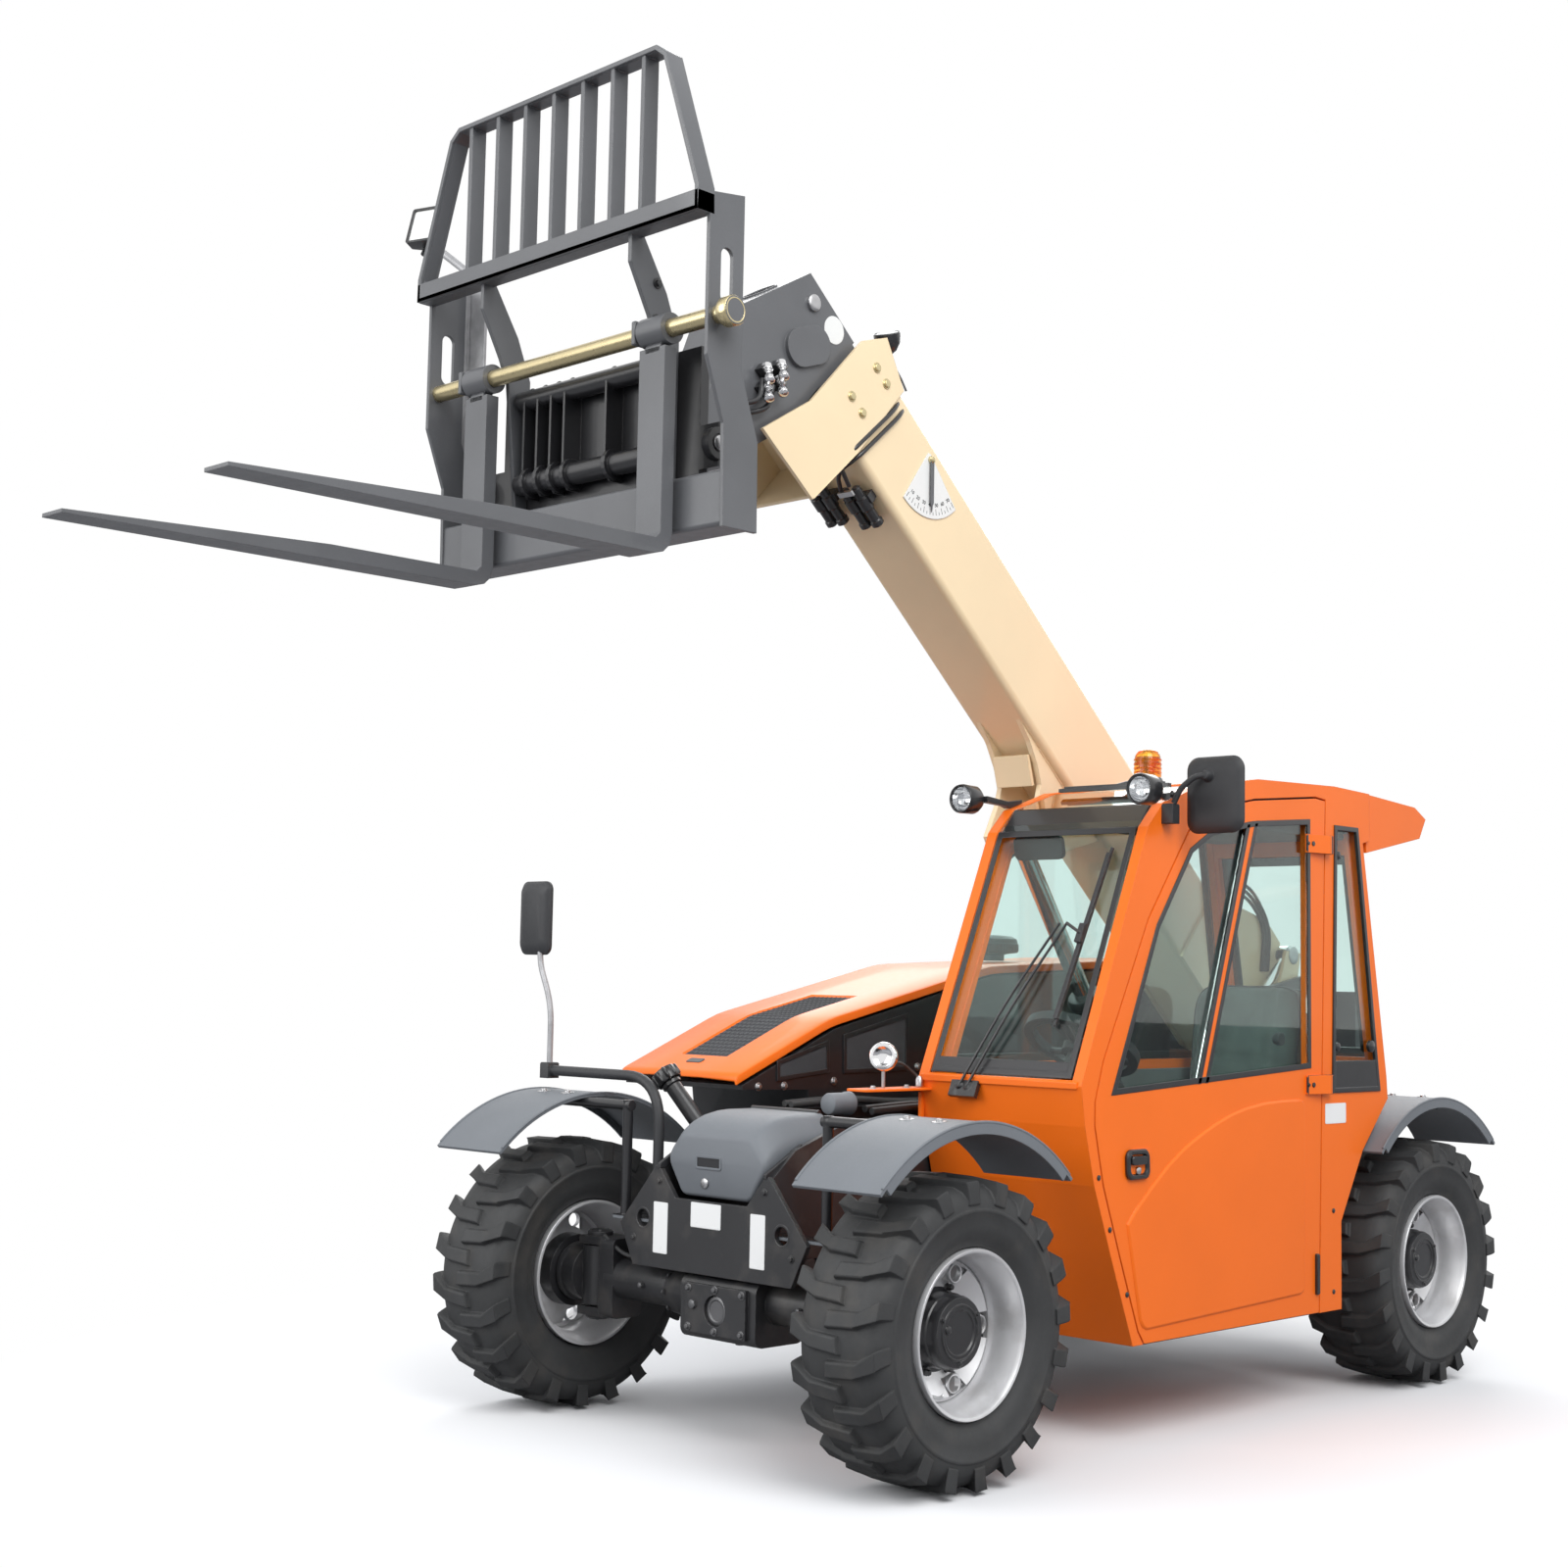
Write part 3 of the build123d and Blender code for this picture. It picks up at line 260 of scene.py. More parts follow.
def circle(centre, one, two, radius, count, start=0.0):
    """Points spread evenly round a circle, from a start given in steps between points."""
    turns = (2 * math.pi * (k + start) / count for k in range(count))
    return [centre + (one * math.cos(t) + two * math.sin(t)) * radius for t in turns]


def bend(a, b, c, reach, steps):
    """Points of a bend that rounds the corner b between a and c, as far as reach from it."""
    start, end = b + (a - b).normalized() * reach, b + (c - b).normalized() * reach
    shares = (i / steps for i in range(steps + 1))
    return [start * (1 - t) ** 2 + b * 2 * t * (1 - t) + end * t ** 2 for t in shares]


def smooth_line(points, steps):
    """Rounds the bends of a run of points."""
    if len(points) < 3 or not steps:
        return points
    line = [points[0]]
    for a, b, c in zip(points, points[1:], points[2:]):
        reach = min((b - a).length, (c - b).length) * 0.45
        line += bend(a, b, c, reach, steps)
    return line + [points[-1]]


def neighbours(points):
    """Each point of a closed outline with the ones before and after it."""
    return zip(points[-1:] + points[:-1], points, points[1:] + points[:1])


def round_corners(points, radius, steps=4):
    """A closed outline with its corners rounded."""
    result = []
    for a, b, c in neighbours([Vector(p) for p in points]):
        reach = min(radius, (a - b).length * 0.45, (c - b).length * 0.45)
        result += bend(a, b, c, reach, steps)
    return result


def inset_outline(points, distance):
    """The outline moved in by a distance, for an outline in either turning direction."""
    pts = [Vector(p) for p in points]
    area = sum(a.x * b.y - b.x * a.y for a, b in zip(pts, pts[1:] + pts[:1]))
    turn = 1 if area > 0 else -1
    result = []
    for before, here, after in neighbours(pts):
        a, b = (here - before).normalized(), (after - here).normalized()
        na, nb = Vector((-a.y, a.x)) * turn, Vector((-b.y, b.x)) * turn
        middle = (na + nb).normalized()
        result.append(here + middle * distance / max(0.35, middle.dot(na)))
    return result


def arc(centre, radius, start, end, steps):
    """Points of an arc in a plane, angles in degrees."""
    turns = (math.radians(start + (end - start) * i / steps) for i in range(steps + 1))
    return [(centre[0] + radius * math.cos(t), centre[1] + radius * math.sin(t)) for t in turns]


def rounded(width, height, radius, steps=5):
    """Outline of a rectangle with round corners about its middle."""
    a, b = width / 2 - radius, height / 2 - radius
    outline = []
    for cx, cy, turn in ((a, b, 0), (-a, b, 90), (-a, -b, 180), (a, -b, 270)):
        outline += arc((cx, cy), radius, turn, turn + 90, steps)
    return outline


def flip(points):
    """(x, z) pairs as an outline for a face whose first direction is -X."""
    return [(-x, z) for x, z in points]


def quad(low, high):
    """Outline of an upright rectangle between two corners."""
    return [low, (high[0], low[1]), high, (low[0], high[1])]


class Shape:
    """A mesh put together from turned, drawn and bent forms."""

    def __init__(self):
        self.bm = bmesh.new()

    def rings(self, rings, caps=True):
        """Skins a list of rings of points, each with as many points as the next."""
        rows = [[self.bm.verts.new(p) for p in ring] for ring in rings]
        count = len(rows[0])
        for a, b in zip(rows, rows[1:]):
            for i in range(count):
                j = (i + 1) % count
                self.bm.faces.new((a[i], a[j], b[j], b[i]))
        if caps:
            self.bm.faces.new(list(reversed(rows[0])))
            self.bm.faces.new(rows[-1])
        return self

    def lathe(self, centre, axis, profile, segments=64, caps=True):
        """Turns (radius, along) pairs about an axis."""
        axis = Vector(axis).normalized()
        side = axis.orthogonal().normalized()
        other = axis.cross(side)
        return self.rings([circle(Vector(centre) + axis * along, side, other, radius, segments)
                           for radius, along in profile], caps)

    def layers(self, place, u, v, out, levels, caps=True):
        """Skins (outline, height) pairs drawn in the directions u and v."""
        return self.rings([[place + u * p[0] + v * p[1] + out * height for p in outline]
                           for outline, height in levels], caps)

    def prism(self, origin, u, v, outline, depth, inset=0.0):
        """Draws an outline in u and v at origin, as thick as depth along u x v."""
        u, v = Vector(u).normalized(), Vector(v).normalized()
        n = u.cross(v)
        ring = [Vector(origin) + u * a + v * b for a, b in outline]
        levels = [ring, [p + n * (depth - inset) for p in ring]]
        if inset:
            middle = sum(ring, Vector()) / len(ring)
            levels.append([p + (middle - p).normalized() * inset + n * depth for p in ring])
        return self.rings(levels)

    def box(self, centre, size, u=X, v=Y, inset=0.0):
        """A block, with its top edges cut back by inset."""
        a, b, c = (d / 2 for d in size)
        n = Vector(u).normalized().cross(Vector(v).normalized())
        return self.prism(Vector(centre) - n * c, u, v, quad((-a, -b), (a, b)), 2 * c, inset)

    def strip(self, origin, u, v, outline, width, depth):
        """A flat strip that runs inside an outline, such as a window seal."""
        u, v = Vector(u).normalized(), Vector(v).normalized()
        outer, inner = [Vector(p) for p in outline], inset_outline(outline, width)
        levels = ((outer, 0), (outer, depth), (inner, depth), (inner, 0), (outer, 0))
        return self.layers(Vector(origin), u, v, u.cross(v), levels, caps=False)

    def tube(self, points, radius, sides=12, smooth=6):
        """A round bar along points, with rounded bends."""
        line = smooth_line([Vector(p) for p in points], smooth)
        rings = []
        side = None
        for i, p in enumerate(line):
            ahead = (line[min(i + 1, len(line) - 1)] - line[max(i - 1, 0)]).normalized()
            side = ahead.orthogonal() if side is None else side - ahead * side.dot(ahead)
            side.normalize()
            rings.append(circle(p, side, ahead.cross(side), radius, sides))
        return self.rings(rings)

    def bolt(self, place, normal, radius=0.011, height=0.009):
        """A hexagon head on a washer."""
        normal = Vector(normal).normalized()
        washer = height * 0.25
        self.lathe(place, normal, [(radius * 1.55, 0), (radius * 1.5, washer)], 20)
        head = [(radius, 0), (radius, height * 0.8), (radius * 0.84, height)]
        return self.lathe(Vector(place) + normal * washer, normal, head, 6)

    def finish(self, name, material, body, angle=38, bevel=0.0, replaces=()):
        """Makes the object, rides it on its body and hides the solids it stands for."""
        bmesh.ops.remove_doubles(self.bm, verts=self.bm.verts, dist=1e-6)
        bmesh.ops.recalc_face_normals(self.bm, faces=self.bm.faces)
        mesh = bpy.data.meshes.new(name)
        self.bm.to_mesh(mesh)
        self.bm.free()
        mesh.polygons.foreach_set("use_smooth", [True] * len(mesh.polygons))
        mesh.set_sharp_from_angle(angle=math.radians(angle))
        piece = add_piece(name, mesh, material, body)
        if bevel:
            edges = piece.modifiers.new("rounded", "BEVEL")
            edges.width = bevel
            edges.segments = 3
            edges.limit_method = "ANGLE"
        if replaces:
            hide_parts(*replaces)
        return piece


def add_piece(name, mesh, material, body):
    """Puts a mesh in the scene as a piece that rides on a body."""
    mesh.materials.append(material)
    piece = bpy.data.objects.new(name, mesh)
    bpy.context.scene.collection.objects.link(piece)
    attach(piece, body)
    return piece


# Wheels ---------------------------------------------------------------------------------------
# Corners of a lug, each (across the tread, round the tread).
LUG_OUTLINE = ((0.148, 0.016), (0.148, 0.066), (0.084, 0.026), (-0.016, 0.020),
               (-0.022, -0.022), (0.076, -0.016))
LUGS_A_SIDE = 20
# The carcass's section from one bead to the middle of the tread, each (radius, across).
CARCASS = (
    (0.221, -0.108), (0.228, -0.122), (0.238, -0.124), (0.252, -0.136), (0.285, -0.1455),
    (0.318, -0.1475), (0.321, -0.1495), (0.327, -0.1495), (0.330, -0.1470), (0.352, -0.1440),
    (0.374, -0.1330), (0.389, -0.1120), (0.394, -0.0800), (0.396, -0.0400), (0.3965, 0.0),
)
# The rim's section, each (radius, outwards).
RIM_BARREL = (
    (0.2215, -0.108), (0.2225, -0.136), (0.214, -0.138), (0.206, -0.126), (0.200, -0.100),
    (0.186, -0.080), (0.186, 0.020), (0.196, 0.060), (0.1985, 0.098), (0.206, 0.112),
    (0.208, 0.124), (0.2135, 0.134), (0.2215, 0.136), (0.2250, 0.128), (0.2215, 0.108),
    (0.206, 0.096), (0.192, 0.020), (0.192, -0.070), (0.2215, -0.108),
)
# The disc's circles, each (radius, outwards); its holes lie between the second and the third.
RIM_DISC = ((0.186, 0.030), (0.175, 0.040), (0.131, 0.012), (0.120, 0.006), (0.100, 0.004))
HAND_HOLES = 5
HAND_HOLE_R = 0.022
HAND_HOLE_AT = 0.153


def tyre(name, centre, hand, body, replaced):
    """Carcass with ringed sidewalls, and two rows of bent lugs that run down the shoulders."""
    shape = Shape()
    profile = list(CARCASS) + [(r, -a) for r, a in reversed(CARCASS[:-1])]
    shape.lathe(centre, Y, profile, 120, caps=False)
    for k in range(2 * LUGS_A_SIDE):
        turn = math.pi / LUGS_A_SIDE * k
        row = 1 if k % 2 else -1
        levels = []
        for drop, grow in ((0.029, 0.006), (0.012, 0.003), (0.003, 0.0), (0.0, -0.004)):
            ring = []
            for across, round_tread in LUG_OUTLINE:
                shoulder = across > 0.12
                top = TYRE_R - 0.002 - 0.010 * (max(across, 0.0) / 0.15) ** 2
                radius = top - drop * (2.15 if shoulder else 1.0)
                wide = across + (grow * 0.25 if shoulder else -grow if across < 0 else 0.0)
                swing = round_tread + (grow if round_tread > 0.0 else -grow)
                angle = turn + swing / TYRE_R
                ring.append(centre + Vector((
                    radius * math.cos(angle), hand * row * wide, radius * math.sin(angle))))
            levels.append(ring)
        shape.rings(levels)
    shape.finish(name, RUBBER, body, angle=32, replaces=(replaced,))


def rim(name, centre, hand, body, replaced):
    """Stepped silver rim with a dished disc and five hand holes, and its black hub."""
    out = Y * hand
    shape = Shape()
    shape.lathe(centre, out, RIM_BARREL, 96, caps=False)
    # The disc is made of wedges, and is left open round each hole.
    wedges = 12 * HAND_HOLES
    for back in (0.0, -0.012):
        rows = [[shape.bm.verts.new(p) for p in circle(centre + out * (d + back), X, Z, r, wedges)]
                for r, d in RIM_DISC]
        for row, (a, b) in enumerate(zip(rows, rows[1:])):
            for i in range(wedges):
                if row == 1 and abs((i + 0.5) % 12 - 6) < 2:
                    continue
                j = (i + 1) % wedges
                shape.bm.faces.new((a[i], a[j], b[j], b[i]))
    for spot in circle(centre + out * 0.030, X, Z, HAND_HOLE_AT, HAND_HOLES, 0.5):
        shape.lathe(spot, out, [
            (HAND_HOLE_R + 0.006, -0.004), (HAND_HOLE_R + 0.004, 0.003), (HAND_HOLE_R, 0.002),
            (HAND_HOLE_R, -0.014)], 24, caps=False)
    valve = centre + out * 0.03 + Vector((0.045, 0, -0.168))
    shape.tube([valve, valve + out * 0.03, valve + out * 0.05 + Vector((0.008, 0, 0.012))],
               0.0045, 10)
    shape.finish(name, SILVER, body, angle=40, replaces=(replaced,))
    hub = Shape()
    hub.lathe(centre, out, [
        (0.110, -0.060), (0.112, 0.006), (0.104, 0.012), (0.101, 0.016), (0.101, 0.052),
        (0.097, 0.056), (0.097, 0.078), (0.092, 0.088), (0.060, 0.090), (0.056, 0.086),
        (0.030, 0.086), (0.0, 0.087)], 72)
    hub.lathe(centre, out, [(0.075, 0.0885), (0.074, 0.0925), (0.070, 0.0925), (0.069, 0.0885)],
              caps=False)
    for spot in circle(centre + out * 0.005, X, Z, 0.1165, 8, 0.5):
        hub.bolt(spot, out, 0.0085, 0.016)
    third = 2 * math.pi / 3
    for spot in circle(centre + out * 0.088, X, Z, 0.082, 3, 0.5 / third):
        hub.bolt(spot, out, 0.005, 0.006)
    hub.lathe(centre + out * 0.086 + X * 0.050 * hand + Z * 0.012, out,
              [(0.011, 0), (0.011, 0.007), (0.008, 0.009)], 24)
    hub.finish(name.replace("rim", "hub"), BLACK, body, angle=35)


for end, along in AXLES:
    for hand, side in SIDES:
        middle = at(along, side * HALF_TRACK, TYRE_R)
        wheel = f"wheel_{end}_{hand}"
        tyre(f"tyre_lugged_{end}_{hand}", middle, side, wheel, f"tyre_{end}_{hand}")
        rim(f"rim_pressed_{end}_{hand}", middle, side, wheel, f"rim_{end}_{hand}")


# Cab ------------------------------------------------------------------------------------------
def on_left(x, z, out=0.0):
    """A point on the cab's left face."""
    return at(x, CAB_LEFT + out, z)


def left_plate(shape, out, outline, depth, inset=0.0):
    """A plate on the cab's left face, from an outline of (x, z) pairs."""
    shape.prism(on_left(0, 0, out), LEFT_U, Z, flip(outline), depth, inset)


def left_strip(shape, out, outline, width, depth):
    """A strip on the cab's left face, inside an outline of (x, z) pairs."""
    shape.strip(on_left(0, 0, out), LEFT_U, Z, flip(outline), width, depth)


def cushion(name, centre, u, v, size, crown, pull, channels, replaces=()):
    """A crowned closed cushion whose sides pull in between its corners, channelled and piped."""
    u, v = Vector(u).normalized(), Vector(v).normalized()
    n = u.cross(v)
    a, b, c = (s / 2 for s in size)
    steps, rise = 30, 8
    squareness = 5.0
    channel_width = 0.045
    shape = Shape()
    grid = {}

    def place(x, y, z):
        """The cushion's surface towards a point of the cube from -1 to 1."""
        length = (abs(x) ** squareness + abs(y) ** squareness + abs(z) ** squareness)
        x, y, z = (q / length ** (1 / squareness) for q in (x, y, z))
        px = a * x * (1 - pull * (1 - y * y) * abs(x))
        py = b * y * (1 - pull * (1 - x * x) * abs(y))
        pz = c * z
        if z > 0:
            pz += crown * (1 - x * x) * (1 - y * y)
            for kind, spot, deep in channels:
                run = x if kind == "u" else y
                pz -= deep * math.exp(-(((run - spot) / channel_width) ** 2)) * min(1.0, z * 1.4)
        return Vector(centre) + u * px + v * py + n * pz

    def vert(i, j, k):
        key = (i, j, k)
        if key not in grid:
            spot = place(2 * i / steps - 1, 2 * j / steps - 1, 2 * k / rise - 1)
            grid[key] = shape.bm.verts.new(spot)
        return grid[key]

    def patch(*keys):
        shape.bm.faces.new([vert(*key) for key in keys])

    for i in range(steps):
        for j in range(steps):
            for k in (0, rise):
                patch((i, j, k), (i + 1, j, k), (i + 1, j + 1, k), (i, j + 1, k))
        for k in range(rise):
            for j in (0, steps):
                patch((i, j, k), (i + 1, j, k), (i + 1, j, k + 1), (i, j, k + 1))
            for j in (0, steps):
                patch((j, i, k), (j, i + 1, k), (j, i + 1, k + 1), (j, i, k + 1))
    piece = shape.finish(name, FABRIC, "chassis", angle=60, replaces=replaces)
    # Piping along the seam round the edge.
    line = []
    for p in circle(Vector(), X, Y, 1.0, 96):
        big = max(abs(p.x), abs(p.y))
        line.append(place(p.x / big, p.y / big, 0.55))
    rings = []
    for before, here, after in neighbours(line):
        one = (after - before).normalized().cross(n).normalized()
        rings.append(circle(here, one, n, 0.0035, 8))
    pipe = Shape().rings(rings + rings[:1], caps=False)
    pipe.finish(name + "_piping", DARK_PLASTIC, "chassis")


def seat():
    """Seat and back cushions in a moulded pan, on a bellows pedestal with slides."""
    cushion("seat_base_cushion", at(-0.375, 0.55, 0.765), X, Y, (0.470, 0.440, 0.110), 0.020,
            0.045, (("v", -0.55, 0.008), ("v", 0.55, 0.008), ("u", 0.30, 0.007),
                    ("u", -0.25, 0.006)), replaces=("seat",))
    lean = math.radians(8)
    up = X * -math.sin(lean) + Z * math.cos(lean)
    cushion("seat_back_cushion", at(-0.610, 0.55, 1.090), Y, up, (0.430, 0.530, 0.105), 0.022,
            0.05, (("u", -0.55, 0.008), ("u", 0.55, 0.008), ("v", 0.45, 0.006),
                   ("v", 0.0, 0.006), ("v", -0.45, 0.006)))
    pan = Shape()
    pan.prism(at(-0.655, 0.35, 0.0), X, Z, [(0, 0.70), (0.51, 0.685), (0.515, 0.72),
                                            (0.02, 0.745)], -0.40)
    pan.prism(at(-0.672, 0.37, 0.80), Y, up, rounded(0.36, 0.46, 0.06), 0.018)
    pan.finish("seat_pan", DARK_PLASTIC, "chassis", bevel=0.004)
    shell = Shape()
    shell.prism(at(-0.690, 0.55, 1.085), Y, up, rounded(0.40, 0.50, 0.07), 0.030, 0.012)
    shell.finish("seat_back_shell", DARK_PLASTIC, "chassis", bevel=0.004)
    folds = 12
    bellows = Shape().layers(at(-0.43, 0.55, 0.345), X, Y, Z, [
        (rounded(0.34 + grow, 0.29 + grow, 0.05), 0.33 * k / folds)
        for k, grow in ((k, 0.012 if k % 2 else -0.010) for k in range(folds + 1))])
    bellows.finish("seat_bellows", RUBBER, "chassis", angle=70)
    rails = Shape()
    for y in (0.43, 0.67):
        rails.box(at(-0.40, y, 0.683), (0.44, 0.030, 0.016))
    rails.tube([at(-0.16, 0.45, 0.695), at(-0.13, 0.45, 0.69), at(-0.13, 0.65, 0.69),
                at(-0.16, 0.65, 0.695)], 0.006)
    rails.finish("seat_rails", STEEL, "chassis", bevel=0.002)
    rests = Shape()
    for s in (-1, 1):
        rests.prism(at(-0.60, 0.55 + s * 0.238 + 0.022, 0.91), X, Z, rounded(0.30, 0.052, 0.024),
                    -0.044)
    rests.finish("seat_armrests", DARK_PLASTIC, "chassis", bevel=0.006)
    belt = Shape()
    belt.prism(at(-0.575, 0.775, 0.73), Vector((0.35, 0, 1)), X, rounded(0.16, 0.045, 0.01),
               0.003)
    belt.finish("seat_belt", BLACK, "chassis")


def cab_inside():
    """Headliner, floor mat, dash vents, levers, steering wheel and the pedals."""
    liner = Shape()
    liner.prism(at(0, 0.300, 0), X, Z, [(-0.82, 1.840), (0.10, 1.842), (0.10, 1.898),
                                        (-0.19, 1.944), (-0.82, 1.952)], -0.510)
    liner.finish("headliner", LINER, "chassis", bevel=0.008)
    # Right-hand wall below the window, and the back wall.
    trim = Shape()
    trim.prism(at(0, 0.296, 0), X, Z, [(-0.64, 0.35), (0.36, 0.35), (0.60, 1.06), (-0.90, 1.06),
                                       (-0.93, 0.98), (-0.66, 0.60)], -0.006)
    trim.prism(at(-0.84, 0.812, 0.0), -Y, Z, quad((0, 0.80), (0.51, 1.08)), 0.012)
    trim.finish("cab_trim", LINER, "chassis", bevel=0.003)
    mat = Shape()
    mat.prism(at(-0.14, 0.55, 0.342), X, Y, rounded(1.00, 0.50, 0.03), 0.008, 0.003)
    for k in range(11):
        mat.box(at(-0.15 + 0.05 * k, 0.60, 0.352), (0.012, 0.34, 0.006))
    mat.finish("floor_mat", RUBBER, "chassis")
    dash = Shape()
    for outline in ([(0.43, 1.032), (0.645, 1.004), (0.668, 1.030), (0.60, 1.075),
                     (0.45, 1.062)],
                    [(0.420, 0.345), (0.520, 0.560), (0.600, 0.780), (0.638, 1.010),
                     (0.440, 1.036), (0.330, 0.900), (0.380, 0.345)]):
        dash.prism(at(0, 0.305, 0), X, Z, outline, -0.50)
    dash.finish("dash_hood", DARK_PLASTIC, "chassis", bevel=0.010)
    vents = Shape()
    tilt = Vector((0.35, 0, 0.94)).normalized()
    for y in (0.38, 0.74):
        spot = at(0.600, y, 1.072)
        vents.lathe(spot, tilt, [(0.042, -0.004), (0.042, 0.008), (0.036, 0.012),
                                 (0.031, 0.010), (0.031, 0.002)], 40)
        for k in range(-2, 3):
            vents.box(spot + tilt * 0.009 + Y * k * 0.011, (0.05, 0.0025, 0.008))
    vents.finish("dash_vents", BLACK, "chassis")
    steering_wheel()
    console = Shape()
    console.prism(at(-0.50, 0.312, 0), X, Z, [(0.0, 0.36), (0.46, 0.36), (0.50, 0.80),
                                              (0.42, 0.86), (0.0, 0.83)], -0.075)
    console.finish("side_console", PLASTIC, "chassis", bevel=0.008)
    levers = Shape()
    y = 0.345
    for x in (-0.10, -0.18):
        levers.lathe(at(x, y, 0.845), Z, [(0.030, 0), (0.027, 0.02), (0.018, 0.035),
                                          (0.010, 0.045)], 24)
        levers.tube([at(x, y, 0.86), at(x + 0.01, y, 0.95), at(x + 0.03, y, 1.02)], 0.007)
        levers.lathe(at(x + 0.028, y, 1.00), Vector((0.25, 0, 1)), [
            (0.012, 0), (0.019, 0.02), (0.022, 0.06), (0.019, 0.085), (0.008, 0.095)], 28)
    for y in (0.44, 0.66):
        levers.box(at(0.300, y, 0.44), (0.012, 0.065, 0.12))
    levers.finish("levers_and_pedals", BLACK, "chassis", angle=50)
    mirror = Shape()
    mirror.prism(at(0.335, 0.395, 1.760), -Y, Vector((0.2, 0, 1)), rounded(0.19, 0.075, 0.02),
                 0.022, 0.006)
    mirror.tube([at(0.330, 0.395, 1.79), at(0.318, 0.395, 1.835)], 0.006)
    mirror.finish("inner_mirror", DARK_PLASTIC, "chassis", bevel=0.002)


def steering_wheel():
    """Three-spoked wheel with a boss and a spinner knob, on its column."""
    wheel = Shape()
    axis = Vector((-0.5, 0, 0.86)).normalized()
    centre = at(0.400, 0.550, 1.000) + axis * 0.179
    one = axis.orthogonal().normalized()
    two = axis.cross(one)
    wheel_r = 0.165
    section = [(0.014 * p.x, 0.013 * p.y) for p in circle(Vector(), X, Y, 1.0, 14)]
    outs = circle(Vector(), one, two, 1.0, 72)
    wheel.rings([[centre + out * (wheel_r + wide) + axis * high for wide, high in section]
                 for out in outs + outs[:1]], caps=False)
    for out in circle(Vector(), one, two, 1.0, 3, 0.75):
        wheel.tube([centre - axis * 0.02, centre - axis * 0.014 + out * 0.08,
                    centre + out * 0.162], 0.011, 10)
    wheel.lathe(centre, axis, [(0.050, -0.040), (0.052, -0.012), (0.044, 0.004),
                               (0.020, 0.010)], 48)
    wheel.lathe(centre, -axis, [(0.030, 0.03), (0.032, 0.14), (0.052, 0.19)], 32)
    knob = centre + (one * math.cos(2.0) + two * math.sin(2.0)) * wheel_r
    wheel.lathe(knob, axis, [(0.006, 0.0), (0.006, 0.03), (0.017, 0.036), (0.020, 0.048),
                             (0.015, 0.060), (0.0, 0.064)], 24)
    wheel.finish("steering_wheel", DARK_PLASTIC, "chassis", angle=60)


def windows():
    """Black seals round each pane, the windscreen's border, wipers and latches."""
    slope = Vector((-0.314, 0, 0.746)).normalized()
    out = Y.cross(slope)
    screen = at(0.714, 0, 1.066) + out * 0.001
    seal = Shape()
    seal.strip(screen, Y, slope, quad((0.2925, 0.002), (0.8175, 0.806)), 0.020, 0.004)
    seal.prism(screen, Y, slope, quad((0.30, 0.006), (0.81, 0.052)), 0.0035)
    # Quarter window behind the door, right-hand window and rear window.
    left_strip(seal, -0.006, [(-0.632, 1.000), (-0.650, 1.880), (-0.800, 1.880),
                              (-0.930, 1.060), (-0.940, 1.000)], 0.016, 0.011)
    left_plate(seal, -0.006, [(-0.634, 1.003), (-0.635, 1.104), (-0.921, 1.104),
                              (-0.938, 1.003)], 0.010)
    seal.strip(at(0, CAB_RIGHT + 0.006, 0), X, Z, [
        (0.600, 1.090), (0.330, 1.740), (0.100, 1.880), (-0.780, 1.900), (-0.910, 1.090)],
        0.026, 0.011)
    lean = Vector((0.129, 0, 0.676)).normalized()
    seal.strip(at(-0.963, 0.0, 1.112), -Y, lean, quad((-0.806, 0), (-0.304, 0.690)), 0.030,
               0.006)
    seal.finish("window_seals", BLACK, "chassis", bevel=0.0015)
    header = Shape()
    header.prism(at(0, 0.296, 0), X, Z, [(0.397, 1.806), (0.332, 1.884), (0.318, 1.872),
                                         (0.383, 1.798)], -0.518)
    header.finish("screen_header", BLACK, "chassis", bevel=0.003)
    sill = Shape()
    sill.prism(at(0, 0.262, 0), X, Z, [(0.729, 1.040), (0.729, 1.060), (0.7135, 1.0665),
                                       (0.704, 1.060)], -0.584)
    sill.finish("screen_sill", ORANGE, "chassis", bevel=0.002)
    wipers(slope, out)
    latch = Shape()
    latch.lathe(on_left(-0.880, 1.150, -0.004), Y, [(0.020, 0), (0.020, 0.010),
                                                    (0.014, 0.014), (0.0, 0.015)], 32)
    for x, z in ((-0.668, 1.150), (-0.673, 1.780)):
        latch.lathe(on_left(x, z, -0.004), Y, [(0.014, 0), (0.014, 0.008), (0.008, 0.011)], 28)
    latch.finish("window_latches", BLACK, "chassis")


